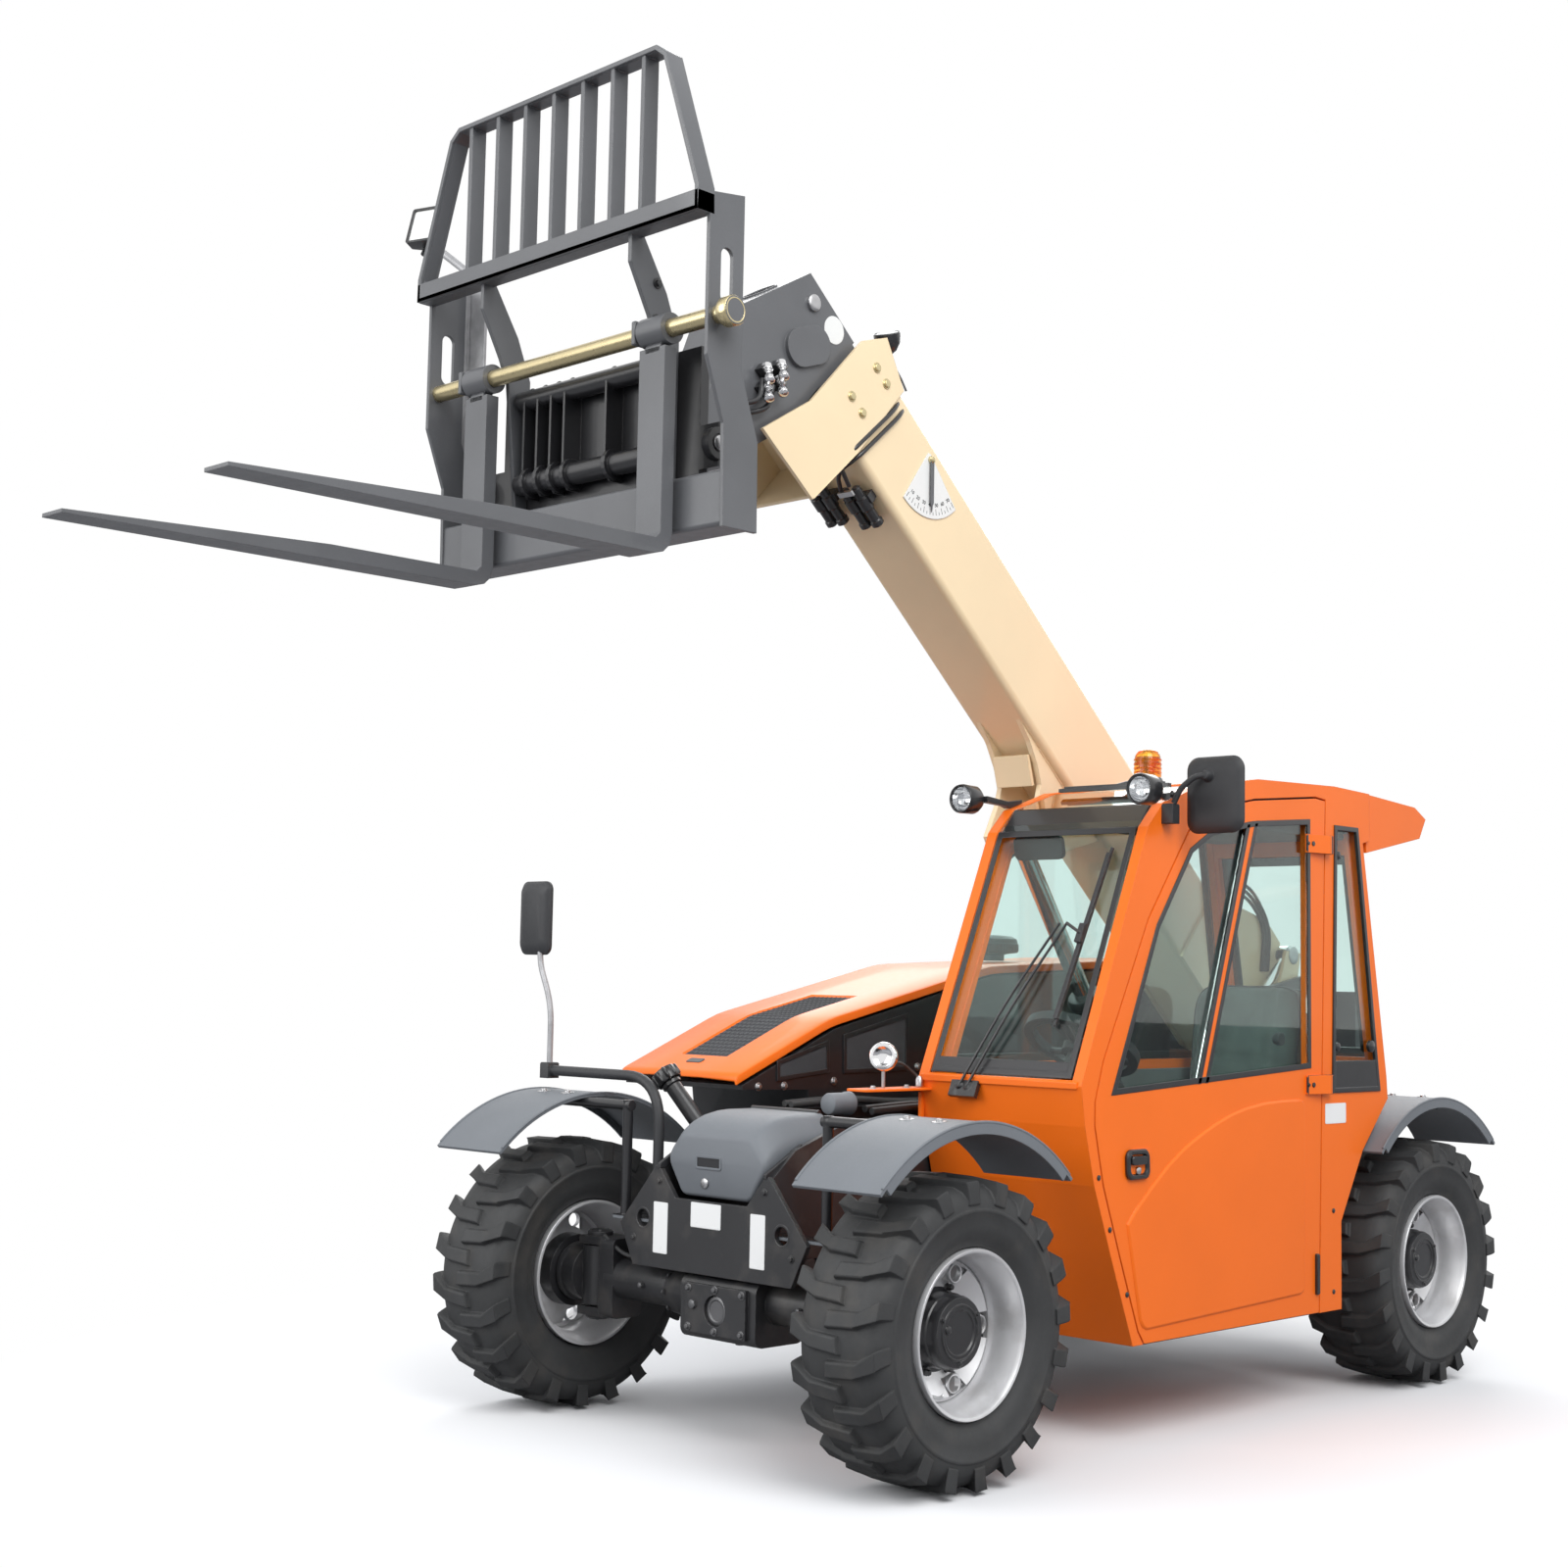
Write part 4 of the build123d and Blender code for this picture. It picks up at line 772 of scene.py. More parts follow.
def wipers(slope, out):
    """Linked arms and blade on the windscreen, and the roof glass's wiper."""
    wiper = Shape()
    base = at(0.733, 0.455, 1.026)
    knee = at(0.523, 0.660, 1.515) + out * 0.006
    for shift in (0.0, 0.030):
        start = base - Y * shift + out * 0.014
        wiper.tube([start, start + (knee - base) * 0.5 + out * 0.012,
                    knee - Y * shift * 0.9 + out * 0.006], 0.0042, 10)
    for shift, r, waist in ((0.0, 0.017, 0.010), (0.030, 0.013, 0.008)):
        wiper.lathe(base - Y * shift - X * 0.012, out, [(r, 0), (r, 0.020), (waist, 0.026)], 24)
    wiper.box(base - Y * 0.015 + out * 0.004 - Z * 0.004, (0.10, 0.05, 0.016), u=Y, v=slope)
    low, high = (at(x, y, z) + out * 0.010 for x, y, z in ((0.652, 0.712, 1.214),
                                                           (0.428, 0.752, 1.745)))
    run = (high - low).normalized()
    across = run.cross(out)
    length = (high - low).length
    wiper.prism(low, run, across, quad((0, -0.004), (length, 0.004)), 0.008)
    wiper.prism(low + run * 0.02 + out * 0.008, run, across,
                quad((0, -0.007), (length - 0.04, 0.007)), 0.006)
    middle = (low + high) / 2
    wiper.tube([knee + out * 0.006, middle + out * 0.022, middle + out * 0.016], 0.005, 10)
    wiper.box(middle + out * 0.014, (0.06, 0.020, 0.014), u=run, v=across)
    hinge = at(-0.020, 0.560, 1.985)
    wiper.lathe(hinge - Z * 0.016, Z, [(0.020, 0), (0.020, 0.018), (0.012, 0.026)], 24)
    tip = at(0.165, 0.560, 1.962)
    wiper.tube([hinge + Z * 0.004, at(0.08, 0.560, 1.984), tip], 0.005, 10)
    wiper.box(tip - Z * 0.006, (0.018, 0.42, 0.012))
    wiper.box(tip + Z * 0.002, (0.012, 0.38, 0.008))
    wiper.finish("wipers", BLACK, "chassis", angle=45)


def door():
    """Pressed panel with a curved crease, seals, handle with its lock, hinges and inner rail."""
    crease = flip([
        (0.505, 0.650), (0.465, 0.690), (0.384, 0.752), (0.300, 0.812), (0.214, 0.860),
        (0.130, 0.896), (0.052, 0.925), (-0.030, 0.950), (-0.116, 0.968), (-0.220, 0.981),
        (-0.330, 0.986), (-0.435, 0.987), (-0.455, 0.980), (-0.463, 0.962), (-0.463, 0.392),
        (-0.455, 0.376), (-0.435, 0.368), (0.405, 0.340), (0.425, 0.350), (0.440, 0.372)])
    panel = Shape().layers(on_left(0, 0), LEFT_U, Z, Y, [
        (crease, -0.001), (crease, 0.0005), (inset_outline(crease, 0.007), 0.0055)])
    panel.finish("door_pressing", ORANGE, "door", angle=30, bevel=0.002)
    seals = Shape()
    left_strip(seals, -0.003, [
        (0.582, 1.021), (0.108, 1.048), (-0.504, 1.083), (-0.500, 1.890), (-0.160, 1.862),
        (0.070, 1.820), (0.185, 1.757), (0.360, 1.520)], 0.018, 0.005)
    for bar in ([(0.144, 1.045), (0.126, 1.045), (-0.146, 1.852), (-0.128, 1.850)],
                [(0.104, 1.047), (0.086, 1.047), (-0.190, 1.858), (-0.172, 1.856)]):
        left_plate(seals, -0.003, bar, 0.005)
    seals.finish("door_seals", BLACK, "door", bevel=0.001)
    # The doorway's gasket shows as a dark line round the door.
    doorway = flip([
        (0.412, 0.302), (0.442, 0.342), (0.532, 0.559), (0.614, 0.766), (0.656, 0.935),
        (0.656, 1.003), (0.618, 1.118), (0.399, 1.534), (0.191, 1.807), (0.080, 1.880),
        (-0.171, 1.927), (-0.534, 1.960), (-0.592, 1.955), (-0.549, 0.302)])
    gasket = Shape()
    gasket.strip(on_left(0, 0, -0.030), LEFT_U, Z, inset_outline(doorway, -0.0055), 0.0048,
                 0.016)
    gasket.finish("doorway_gasket", RUBBER, "chassis")
    handle = Shape()
    spot = on_left(0.4585, 0.820, 0.003)
    up = (Z + X * 0.05).normalized()
    outer, brow = rounded(0.112, 0.088, 0.024), rounded(0.104, 0.080, 0.022)
    handle.layers(spot, LEFT_U, up, Y, [
        (outer, 0.0), (outer, 0.006), (brow, 0.010), (rounded(0.086, 0.062, 0.018), 0.010),
        (rounded(0.076, 0.052, 0.014), -0.001)])
    handle.prism(spot + up * 0.012 + Y * 0.002, LEFT_U, up, rounded(0.074, 0.026, 0.008), 0.013,
                 0.003)
    handle.finish("door_handle", BLACK, "door", angle=40)
    lock = Shape()
    lock.lathe(spot - up * 0.018, Y, [(0.011, 0), (0.011, 0.008), (0.008, 0.010),
                                      (0.0, 0.010)], 28)
    lock.finish("door_lock", STEEL, "door")
    straps = Shape()
    for z in (1.000, 1.780):
        straps.prism(on_left(-0.535, z + 0.030, 0.0045), LEFT_U, Z,
                     rounded(0.131, 0.0615, 0.008), 0.0045, 0.0015)
        straps.prism(at(0, 0, z - 0.0005), X, Y, [(-0.598, 0.8688), (-0.586, 0.8600),
                                                  (-0.575, 0.8690), (-0.588, 0.8850)], 0.061)
        straps.lathe(at(-0.600, 0.876, z - 0.001), Z, [(0.0070, 0), (0.0094, 0.002),
                                                       (0.0094, 0.060), (0.0070, 0.062)], 24)
    straps.finish("door_hinge_straps", BLACK, "door", angle=40)
    reveal = Shape()
    for bar in ([(0.1335, 1.045), (0.1302, 1.045), (-0.1498, 1.865), (-0.1465, 1.865)],
                [(0.0998, 1.047), (0.0965, 1.047), (-0.1835, 1.862), (-0.1802, 1.862)]):
        left_plate(reveal, -0.0395, bar, 0.038)
    reveal.finish("door_bar_trims", BLACK, "door")
    hinge = Shape()
    for z in (1.030, 1.810):
        for x, r, height in ((-0.500, 0.0085, 0.006), (-0.555, 0.0085, 0.006),
                             (-0.478, 0.005, 0.003)):
            hinge.bolt(on_left(x, z, 0.0085), Y, r, height)
    hinge.finish("door_hinge_bolts", BLACK, "door")
    stay = Shape()
    stay.prism(on_left(-0.534, 0.425), LEFT_U, Z, rounded(0.016, 0.130, 0.006), 0.010, 0.002)
    stay.finish("door_catch", BLACK, "door")
    rail = Shape()
    rail.tube([at(0.30, 0.815, 0.96), at(0.30, 0.785, 0.97), at(-0.20, 0.785, 0.995),
               at(-0.20, 0.815, 0.995)], 0.010)
    rail.lathe(at(-0.401, 0.812, 1.175), -Y, [(0.020, 0), (0.022, 0.012), (0.016, 0.026),
                                              (0.0, 0.030)], 28)
    rail.finish("door_inner_rail", DARK_PLASTIC, "door", angle=50)


def cab_outside():
    """Blank label, screws, front lamps, beacon, tail lamps and horn."""
    label = Shape()
    label.prism(on_left(-0.655, 0.934, 0.0002), LEFT_U, Z, rounded(0.130, 0.066, 0.006), 0.0006)
    label.finish("blank_labels_cab", LABEL, "chassis")
    screws = Shape()
    for x, z in ((0.640, 0.790), (0.585, 0.640), (0.500, 0.450), (-0.640, 0.620),
                 (-0.640, 0.360)):
        screws.lathe(on_left(x, z, -0.0005), Y, [(0.008, 0), (0.008, 0.0025), (0.005, 0.004),
                                                 (0.0, 0.004)], 20)
    screws.finish("cab_screws", BLACK, "chassis")
    for hand, y in (("right", 0.205), ("left", 0.885)):
        centre = at(0.420, y, 1.915)
        body = Shape()
        body.lathe(centre, X, [
            (0.018, -0.014), (0.036, -0.004), (0.0455, 0.012), (0.046, 0.050), (0.0465, 0.068),
            (0.044, 0.072), (0.040, 0.070), (0.0385, 0.062), (0.036, 0.050), (0.020, 0.026),
            (0.0, 0.020)], 56)
        body.finish(f"lamp_body_{hand}", BLACK, "chassis", angle=50,
                    replaces=("lamps",) if hand == "left" else ())
        bowl = Shape()
        bowl.lathe(centre, X, [(0.0375, 0.062), (0.034, 0.050), (0.024, 0.034), (0.010, 0.028),
                               (0.0, 0.0275)], 48, caps=False)
        bowl.finish(f"lamp_bowl_{hand}", CHROME, "chassis", angle=60)
        lens = Shape()
        lens.lathe(centre, X, [(0.0385, 0.0625), (0.0385, 0.0665), (0.030, 0.0685),
                               (0.015, 0.0695), (0.0, 0.0700)], 48)
        lens.finish(f"lamp_lens_{hand}", CLEAR, "chassis", angle=60)
    bracket = Shape()
    for y, width in ((0.846, 0.012), (0.236, 0.026)):
        bracket.prism(at(0, y, 0), X, Z, [
            (0.250, 1.914), (0.310, 1.894), (0.330, 1.900), (0.425, 1.905), (0.425, 1.925),
            (0.320, 1.915), (0.250, 1.925)], -width)
    bracket.bolt(at(0.300, 0.872, 1.912), Y, 0.008, 0.006)
    bracket.finish("lamp_brackets", BLACK, "chassis", bevel=0.002)
    # Beacon: ribbed amber dome on a black base, round its bulb.
    centre = at(-0.230, 0.410, 2.001)
    dome = Shape()
    dome.lathe(centre, Z, [(0.0445, 0.016), (0.0455, 0.030), (0.0445, 0.070), (0.0425, 0.096),
                           (0.036, 0.112), (0.024, 0.1185), (0.0, 0.1200)])
    for k in range(4):
        rise = Z * 0.014 * k
        dome.lathe(centre + rise, Z, [(0.0457, 0.040), (0.0468, 0.043), (0.0455, 0.046)],
                   caps=False)
    dome.finish("beacon_dome", AMBER, "chassis", angle=50, replaces=("beacon",))
    base = Shape()
    base.lathe(centre, Z, [(0.056, 0.0), (0.057, 0.008), (0.052, 0.014), (0.048, 0.024),
                           (0.046, 0.026), (0.0, 0.027)])
    base.finish("beacon_base", BLACK, "chassis", angle=50)
    core = Shape()
    core.lathe(centre, Z, [(0.018, 0.026), (0.018, 0.060), (0.026, 0.075), (0.026, 0.095),
                           (0.010, 0.104), (0.0, 0.105)], 32)
    core.finish("beacon_core", GOLD, "chassis", angle=50)
    mirrors()
    # Tail lamps under the roof's overhang, and the horn on its shelf.
    tail_lamps = Shape()
    for y in (0.330, 0.780):
        tail_lamps.prism(at(-1.272, y, 1.925), -Y, Vector((0.25, 0, 1)),
                         rounded(0.080, 0.040, 0.008), 0.014, 0.004)
    tail_lamps.finish("tail_lamps", RED, "chassis")
    horn = Shape()
    horn.lathe(at(0.880, 0.246, 1.112), Vector((0.9, 0.45, 0.1)), [
        (0.0, -0.052), (0.016, -0.050), (0.022, -0.040), (0.024, -0.018), (0.040, -0.012),
        (0.044, -0.006), (0.044, 0.006), (0.040, 0.011), (0.030, 0.012), (0.026, 0.007),
        (0.012, 0.004), (0.0, 0.004)], 48)
    horn.finish("horn", CHROME, "chassis", angle=40)


def mirrors():
    """Rounded housings with silvered glass, the left one's arm and the right one's tubes."""
    shell = Shape()
    left = at(0.252, 1.000, 1.908)
    shell.layers(left, Y, Z, X, [
        (rounded(0.200 - 2 * cut, 0.230 - 2 * cut, max(0.012, 0.040 - cut * 0.4), 8), lift)
        for lift, cut in ((0.0, 0.010), (0.004, 0.002), (0.010, 0.0), (0.018, 0.006),
                          (0.024, 0.022), (0.026, 0.045))])
    shell.lathe(at(0.274, 0.985, 1.965), X, [(0.020, 0), (0.018, 0.012), (0.012, 0.024),
                                             (0.0, 0.027)], 28)
    shell.tube([at(0.288, 0.990, 1.966), at(0.305, 0.955, 1.962), at(0.318, 0.912, 1.925),
                at(0.320, 0.892, 1.884)], 0.009, 14, 8)
    shell.box(at(0.320, 0.880, 1.852), (0.036, 0.040, 0.060), inset=0.004)
    right = at(1.218, -0.975, 1.520)
    shell.layers(right, Y, Z, X, [
        (rounded(0.150 - 2 * cut, 0.240 - 2 * cut, 0.030, 8), lift)
        for lift, cut in ((0.0, 0.008), (0.005, 0.0), (0.014, 0.0), (0.026, 0.010),
                          (0.034, 0.030))])
    post_x = 1.235
    shell.tube([at(post_x, -0.350, 0.700), at(post_x, -0.350, 1.030),
                at(post_x, -0.905, 1.030)], 0.0165, 18, 10)
    shell.box(at(post_x, -0.880, 1.030), (0.046, 0.040, 0.050), inset=0.004)
    shell.box(at(post_x, -0.303, 0.705), (0.050, 0.130, 0.010))
    shell.finish("mirror_housings", DARK_PLASTIC, "chassis", angle=45, replaces=("mirrors",))
    thin = Shape()
    thin.tube([at(post_x, -0.880, 1.010), at(post_x, -0.880, 1.240),
               at(post_x, -0.943, 1.372), at(post_x, -0.943, 1.455)], 0.0095, 16, 8)
    thin.finish("mirror_post", SILVER_GREY, "chassis", angle=60)
    glass = Shape()
    glass.prism(left - X * 0.0006, -Y, Z, rounded(0.172, 0.202, 0.032, 8), 0.002)
    glass.prism(right - X * 0.0006, -Y, Z, rounded(0.126, 0.216, 0.022, 8), 0.002)
    glass.finish("mirror_glass", CHROME, "chassis")


seat()
cab_inside()
windows()
door()
cab_outside()


# Front, hood and tail -------------------------------------------------------------------------
# The hood's ridge from its front edge back, each (x, z).
HOOD_LINE = [(1.000, 1.037), (0.579, 1.215), (-0.235, 1.398), (-1.150, 1.440)]
HOOD_FLOOR = 1.0065     # no part of the lid hangs lower at its front edge
MESH_SINK = 0.009
BAY_INNER, BAY_OUTER, BAY_REAR = -0.2565, -0.8002, -1.5002


def hood_height(x):
    """Height of the hood's top at a station."""
    for (x0, z0), (x1, z1) in zip(HOOD_LINE, HOOD_LINE[1:]):
        if x >= x1:
            return z0 + (z1 - z0) * (x0 - x) / (x0 - x1)
    return HOOD_LINE[-1][1]


def hood():
    """Sheet lid with rolled edges and a sunk mesh panel on its slope."""
    sunk = (0.874, 0.70, 0.62, 0.579, 0.54, 0.42, 0.278)
    flat = (0.270, 0.22, 0.0, -0.18, -0.235, -0.29, -0.6, -0.9, -1.140)
    stations = [(1.000, 1.028, 0), (0.994, 1.039, 0), (0.980, 1.046, 0)]
    for xs, deep in (((0.900, 0.882), 0), (sunk, MESH_SINK), (flat, 0)):
        for x in xs:
            crease = 0.002 if x in (0.579, -0.235) else 0
            stations.append((x, hood_height(x) - crease, deep))
    stations += [(-1.160, 1.435, 0), (-1.168, 1.424, 0)]
    rings = []
    for x, z, deep in stations:
        under = max(-0.006, HOOD_FLOOR - z)
        skirt = max(-0.030, HOOD_FLOOR - z)
        cross = [
            (-0.256, skirt), (-0.256, -0.014), (-0.2585, -0.005), (-0.266, 0.0), (-0.424, 0.0),
            (-0.430, -deep), (-0.634, -deep), (-0.640, 0.0), (-0.790, 0.0), (-0.7975, -0.005),
            (-0.800, -0.014), (-0.800, skirt), (-0.794, skirt), (-0.790, under - 0.006),
            (-0.640, under), (-0.634, under - deep), (-0.430, under - deep), (-0.424, under),
            (-0.266, under - 0.006), (-0.262, skirt)]
        rings.append([at(x, y, max(z + dz, HOOD_FLOOR)) for y, dz in cross])
    Shape().rings(rings).finish("hood_sheet", ORANGE, "hood", angle=35,
                                replaces=("engine_hood",))
    mesh = Shape()
    spots = [(x, hood_height(x) - MESH_SINK) for x in (0.872, 0.579, 0.280)]
    sheet = ((-0.4325, 0.0005), (-0.4325, 0.004), (-0.6315, 0.004), (-0.6315, 0.0005))
    mesh.rings([[at(x, y, z + dz) for y, dz in sheet] for x, z in spots])
    for k in range(24):
        x = 0.860 - 0.0245 * k
        mesh.box(at(x, -0.532, hood_height(x) - MESH_SINK + 0.0042), (0.004, 0.196, 0.003))
    for k in range(9):
        y = -0.450 - 0.0205 * k
        for (x0, z0), (x1, z1) in zip(spots, spots[1:]):
            mesh.tube([at(x0, y, z0 + 0.004), at(x1, y, z1 + 0.004)], 0.0017, 6, 0)
    mesh.finish("hood_mesh", GRILLE, "hood", angle=40)
    latch = Shape()
    latch.prism(at(0.92, -0.528, 1.069), Y, Vector((-0.42, 0, 0.18)),
                rounded(0.070, 0.030, 0.008), 0.004, 0.0015)
    latch.finish("hood_latch", BLACK, "hood")
    hinge = Shape()
    for y in (-0.36, -0.70):
        hinge.lathe(at(-1.168, y - 0.04, 1.408), Y, [(0.0115, 0), (0.0115, 0.08)], 20)
        hinge.box(at(-1.150, y, 1.420), (0.040, 0.070, 0.006))
    hinge.finish("hood_hinges", BLACK, "hood", angle=40)
    bowl = Shape()
    spot = at(-0.571, -0.520, 1.418)
    bowl.lathe(spot, Z, [
        (0.042, 0), (0.042, 0.022), (0.058, 0.026), (0.090, 0.030), (0.094, 0.036),
        (0.094, 0.062), (0.091, 0.066), (0.091, 0.070), (0.088, 0.080), (0.070, 0.090),
        (0.030, 0.094), (0.0, 0.094)], 72)
    for rib in circle(spot + Z * 0.049, X, Y, 0.093, 24):
        bowl.box(rib, (0.004, 0.004, 0.024))
    bowl.finish("precleaner_bowl", DARK_PLASTIC, "hood", angle=35, replaces=("air_precleaner",))


def engine_side():
    """Grilles, seams and bolts of the engine bay's inner, outer and rear faces."""
    panel = Shape()
    for corners in ([(0.827, 1.079), (0.588, 1.144), (0.585, 1.038), (0.826, 1.015)],
                    [(0.520, 1.160), (0.200, 1.232), (0.200, 1.040), (0.518, 1.034)]):
        panel.strip(at(0, BAY_INNER, 0), -X, Z, flip(corners), 0.014, 0.006)
    panel.finish("bay_frames_inner", BLACK, "chassis", bevel=0.001)
    sheet = Shape()
    for corners in ([(0.815, 1.069), (0.600, 1.130), (0.598, 1.048), (0.815, 1.027)],
                    [(0.508, 1.150), (0.212, 1.216), (0.212, 1.052), (0.508, 1.046)]):
        sheet.prism(at(0, BAY_INNER + 0.0002, 0), -X, Z, flip(corners), 0.002)
    sheet.finish("bay_mesh_inner", GRILLE, "chassis")
    bolts = Shape()
    for x, z in ((0.905, 1.000), (0.790, 1.000), (0.560, 1.010), (0.15, 1.05), (-0.2, 1.05),
                 (-0.6, 1.05)):
        bolts.bolt(at(x, -0.256, z), Y, 0.009, 0.008)
    for x, z in ((-0.56, 1.30), (-0.56, 0.72), (0.54, 0.72), (0.50, 1.12)):
        bolts.lathe(at(x, -0.800, z), -Y, [(0.020, 0), (0.020, 0.004), (0.012, 0.008),
                                           (0.0, 0.008)], 24)
    bolts.finish("bay_bolts", STEEL, "chassis")
    # Outer face: the door's seam and two banks of louvres.
    louvres = Shape()
    louvres.strip(at(0, BAY_OUTER, 0), X, Z, [
        (-0.60, 0.62), (0.585, 0.62), (0.620, 0.980), (0.520, 1.130), (-0.235, 1.310),
        (-0.60, 1.325)], 0.012, 0.004)
    for x, low, pitch, count, slat in ((-0.02, 0.72, 0.036, 9, (0.62, 0.014, 0.006)),
                                       (-0.36, 1.05, 0.030, 7, (0.30, 0.012, 0.005))):
        for k in range(count):
            louvres.prism(at(x, BAY_OUTER, low + pitch * k), X, Z, rounded(*slat), 0.007, 0.003)
    louvres.finish("bay_louvres", BLACK, "chassis", bevel=0.001)
    rear = Shape()
    rear.strip(at(BAY_REAR, -0.53, 0), -Y, Z, quad((-0.22, 1.04), (0.22, 1.36)), 0.016, 0.006)
    for k in range(11):
        rear.prism(at(BAY_REAR, -0.53, 1.070 + 0.026 * k), -Y, Z, rounded(0.400, 0.012, 0.005),
                   0.005, 0.002)
    rear.finish("bay_grille_rear", GRILLE, "chassis")


def front():
    """Moulded cover with slot and lock, bare plates, and the front plate's edges and bolts."""
    stations = ((1.040, 0.945, 0), (1.150, 0.945, 0), (1.190, 0.942, 0), (1.240, 0.932, 0),
                (1.280, 0.916, 0), (1.305, 0.900, 0), (1.318, 0.890, 0.002),
                (1.326, 0.884, 0.006), (1.330, 0.880, 0.013))
    rings = []
    for x, top, cut in stations:
        ring = round_corners([
            (-0.143, 0.697), (0.143, 0.697), (0.203, 0.790), (0.203, top - 0.065), (0.150, top),
            (-0.150, top), (-0.203, top - 0.065), (-0.203, 0.790)], 0.020)
        rings.append([at(x, p.x, p.y) for p in (inset_outline(ring, cut) if cut else ring)])
    shell = Shape().rings(rings)
    shell.strip(at(1.3295, -0.028, 0.800), Y, Z, rounded(0.108, 0.040, 0.008), 0.007, 0.003)
    shell.finish("front_cover_shell", PLASTIC, "cover", angle=40, replaces=("front_cover",))
    slot = Shape()
    slot.prism(at(1.3297, -0.028, 0.800), Y, Z, rounded(0.096, 0.028, 0.004), 0.0008)
    slot.lathe(at(1.042, -0.14, 0.944), Y, [(0.009, 0), (0.009, 0.28)], 20)
    slot.finish("front_cover_slot", BLACK, "cover")
    lock = Shape()
    lock.lathe(at(1.3297, -0.040, 0.740), X, [(0.015, 0), (0.015, 0.005), (0.012, 0.007),
                                              (0.0, 0.007)], 32)
    lock.box(at(1.3375, -0.040, 0.740), (0.003, 0.003, 0.014))
    lock.finish("front_cover_lock", STEEL, "cover")
    plates = Shape()
    for y0, y1, z0, z1 in ((-0.242, -0.180, 0.523, 0.673), (-0.081, 0.045, 0.613, 0.685),
                           (0.166, 0.226, 0.519, 0.672)):
        plates.prism(at(1.3462, (y0 + y1) / 2, (z0 + z1) / 2), Y, Z,
                     rounded(y1 - y0, z1 - z0, 0.004), 0.0007)
    plates.finish("blank_plates_front", LABEL, "chassis")
    edge = Shape()
    for s in (-1, 1):
        edge.prism(at(1.20, s * 0.228, 0.0), X, Z, [
            (0.0, 0.845), (0.130, 0.772), (0.148, 0.772), (0.148, 0.786), (0.004, 0.866)],
            0.012 * s)
        for y, z in ((0.220, 0.735), (0.330, 0.56)):
            edge.bolt(at(1.346, s * y, z), X, 0.008, 0.006)
        edge.lathe(at(1.3455, s * 0.290, 0.620), X, [
            (0.026, -0.018), (0.026, 0.001), (0.033, 0.001), (0.034, -0.002)], 36, caps=False)
    edge.finish("front_plate_edges", CHASSIS_BLACK, "chassis", bevel=0.002)
    filler_cap()
    shelf_and_hoses()


def filler_cap():
    """The filler neck's collar, ribbed cap and strap."""
    axis = Vector((0.2, -0.62, 0.76)).normalized()
    base = at(1.090, -0.228, 0.800)
    side = axis.orthogonal().normalized()
    other = axis.cross(side)
    neck = Shape()
    neck.lathe(base + axis * 0.262, axis, [(0.0270, 0), (0.032, 0.004), (0.032, 0.014),
                                           (0.0275, 0.018)], 40)
    neck.lathe(base + axis * 0.280, axis, [
        (0.0395, 0.0), (0.0410, 0.004), (0.0410, 0.034), (0.037, 0.042), (0.020, 0.0435),
        (0.0, 0.0435)], 48)
    for rib in circle(base + axis * 0.284, side, other, 0.0405, 10):
        neck.lathe(rib, axis, [(0.004, 0), (0.006, 0.004), (0.006, 0.030), (0.003, 0.036)], 12)
    neck.tube([base + axis * rise + side * away
               for rise, away in ((0.274, 0.03), (0.285, 0.052), (0.322, 0.045),
                                  (0.325, 0.010))], 0.003)
    neck.finish("filler_cap", BLACK, "chassis", angle=45)


def shelf_and_hoses():
    """Orange shelf beside the cab with its fixings, a filter canister, and the bay's hoses."""
    shelf = Shape()
    shelf.prism(at(0.86, 0.256, 1.012), X, Y, rounded(0.300, 0.085, 0.010), 0.008, 0.002)
    shelf.prism(at(0.86, 0.250, 0.905), X, Z, quad((-0.150, 0), (-0.135, 0.10)), -0.012)
    shelf.finish("horn_shelf", ORANGE, "chassis", bevel=0.002)
    post = Shape()
    post.tube([at(0.880, 0.246, 1.020), at(0.880, 0.246, 1.080)], 0.006)
    for x in (0.80, 0.95):
        post.bolt(at(x, 0.268, 1.020), Z, 0.008, 0.007)
    post.lathe(at(0.735, 0.262, 1.022), Z, [(0.012, 0), (0.012, 0.02), (0.007, 0.03),
                                            (0.0, 0.032)], 20)
    post.finish("shelf_fixings", STEEL, "chassis")
    can = Shape()
    can.lathe(at(0.985, 0.120, 0.968), -X, [
        (0.020, -0.004), (0.030, 0.0), (0.033, 0.006), (0.033, 0.074), (0.036, 0.078),
        (0.036, 0.092), (0.022, 0.098), (0.0, 0.098)], 40)
    can.finish("filter_can", PLASTIC, "chassis", angle=40)
    hoses = Shape()
    for y, z in ((0.155, 0.952), (0.184, 0.946), (-0.155, 0.948), (-0.184, 0.950)):
        hoses.tube([at(0.86, y, z), at(0.60, y, z + 0.012), at(0.30, y, z - 0.01),
                    at(-0.20, y, z + 0.01), at(-0.74, y, z)], 0.011)
    hoses.tube([at(0.88, 0.235, 1.08), at(0.80, 0.242, 1.10), at(0.735, 0.25, 1.055),
                at(0.735, 0.262, 1.045)], 0.004, 8)
    hoses.finish("bay_hoses", RUBBER, "chassis", angle=60)


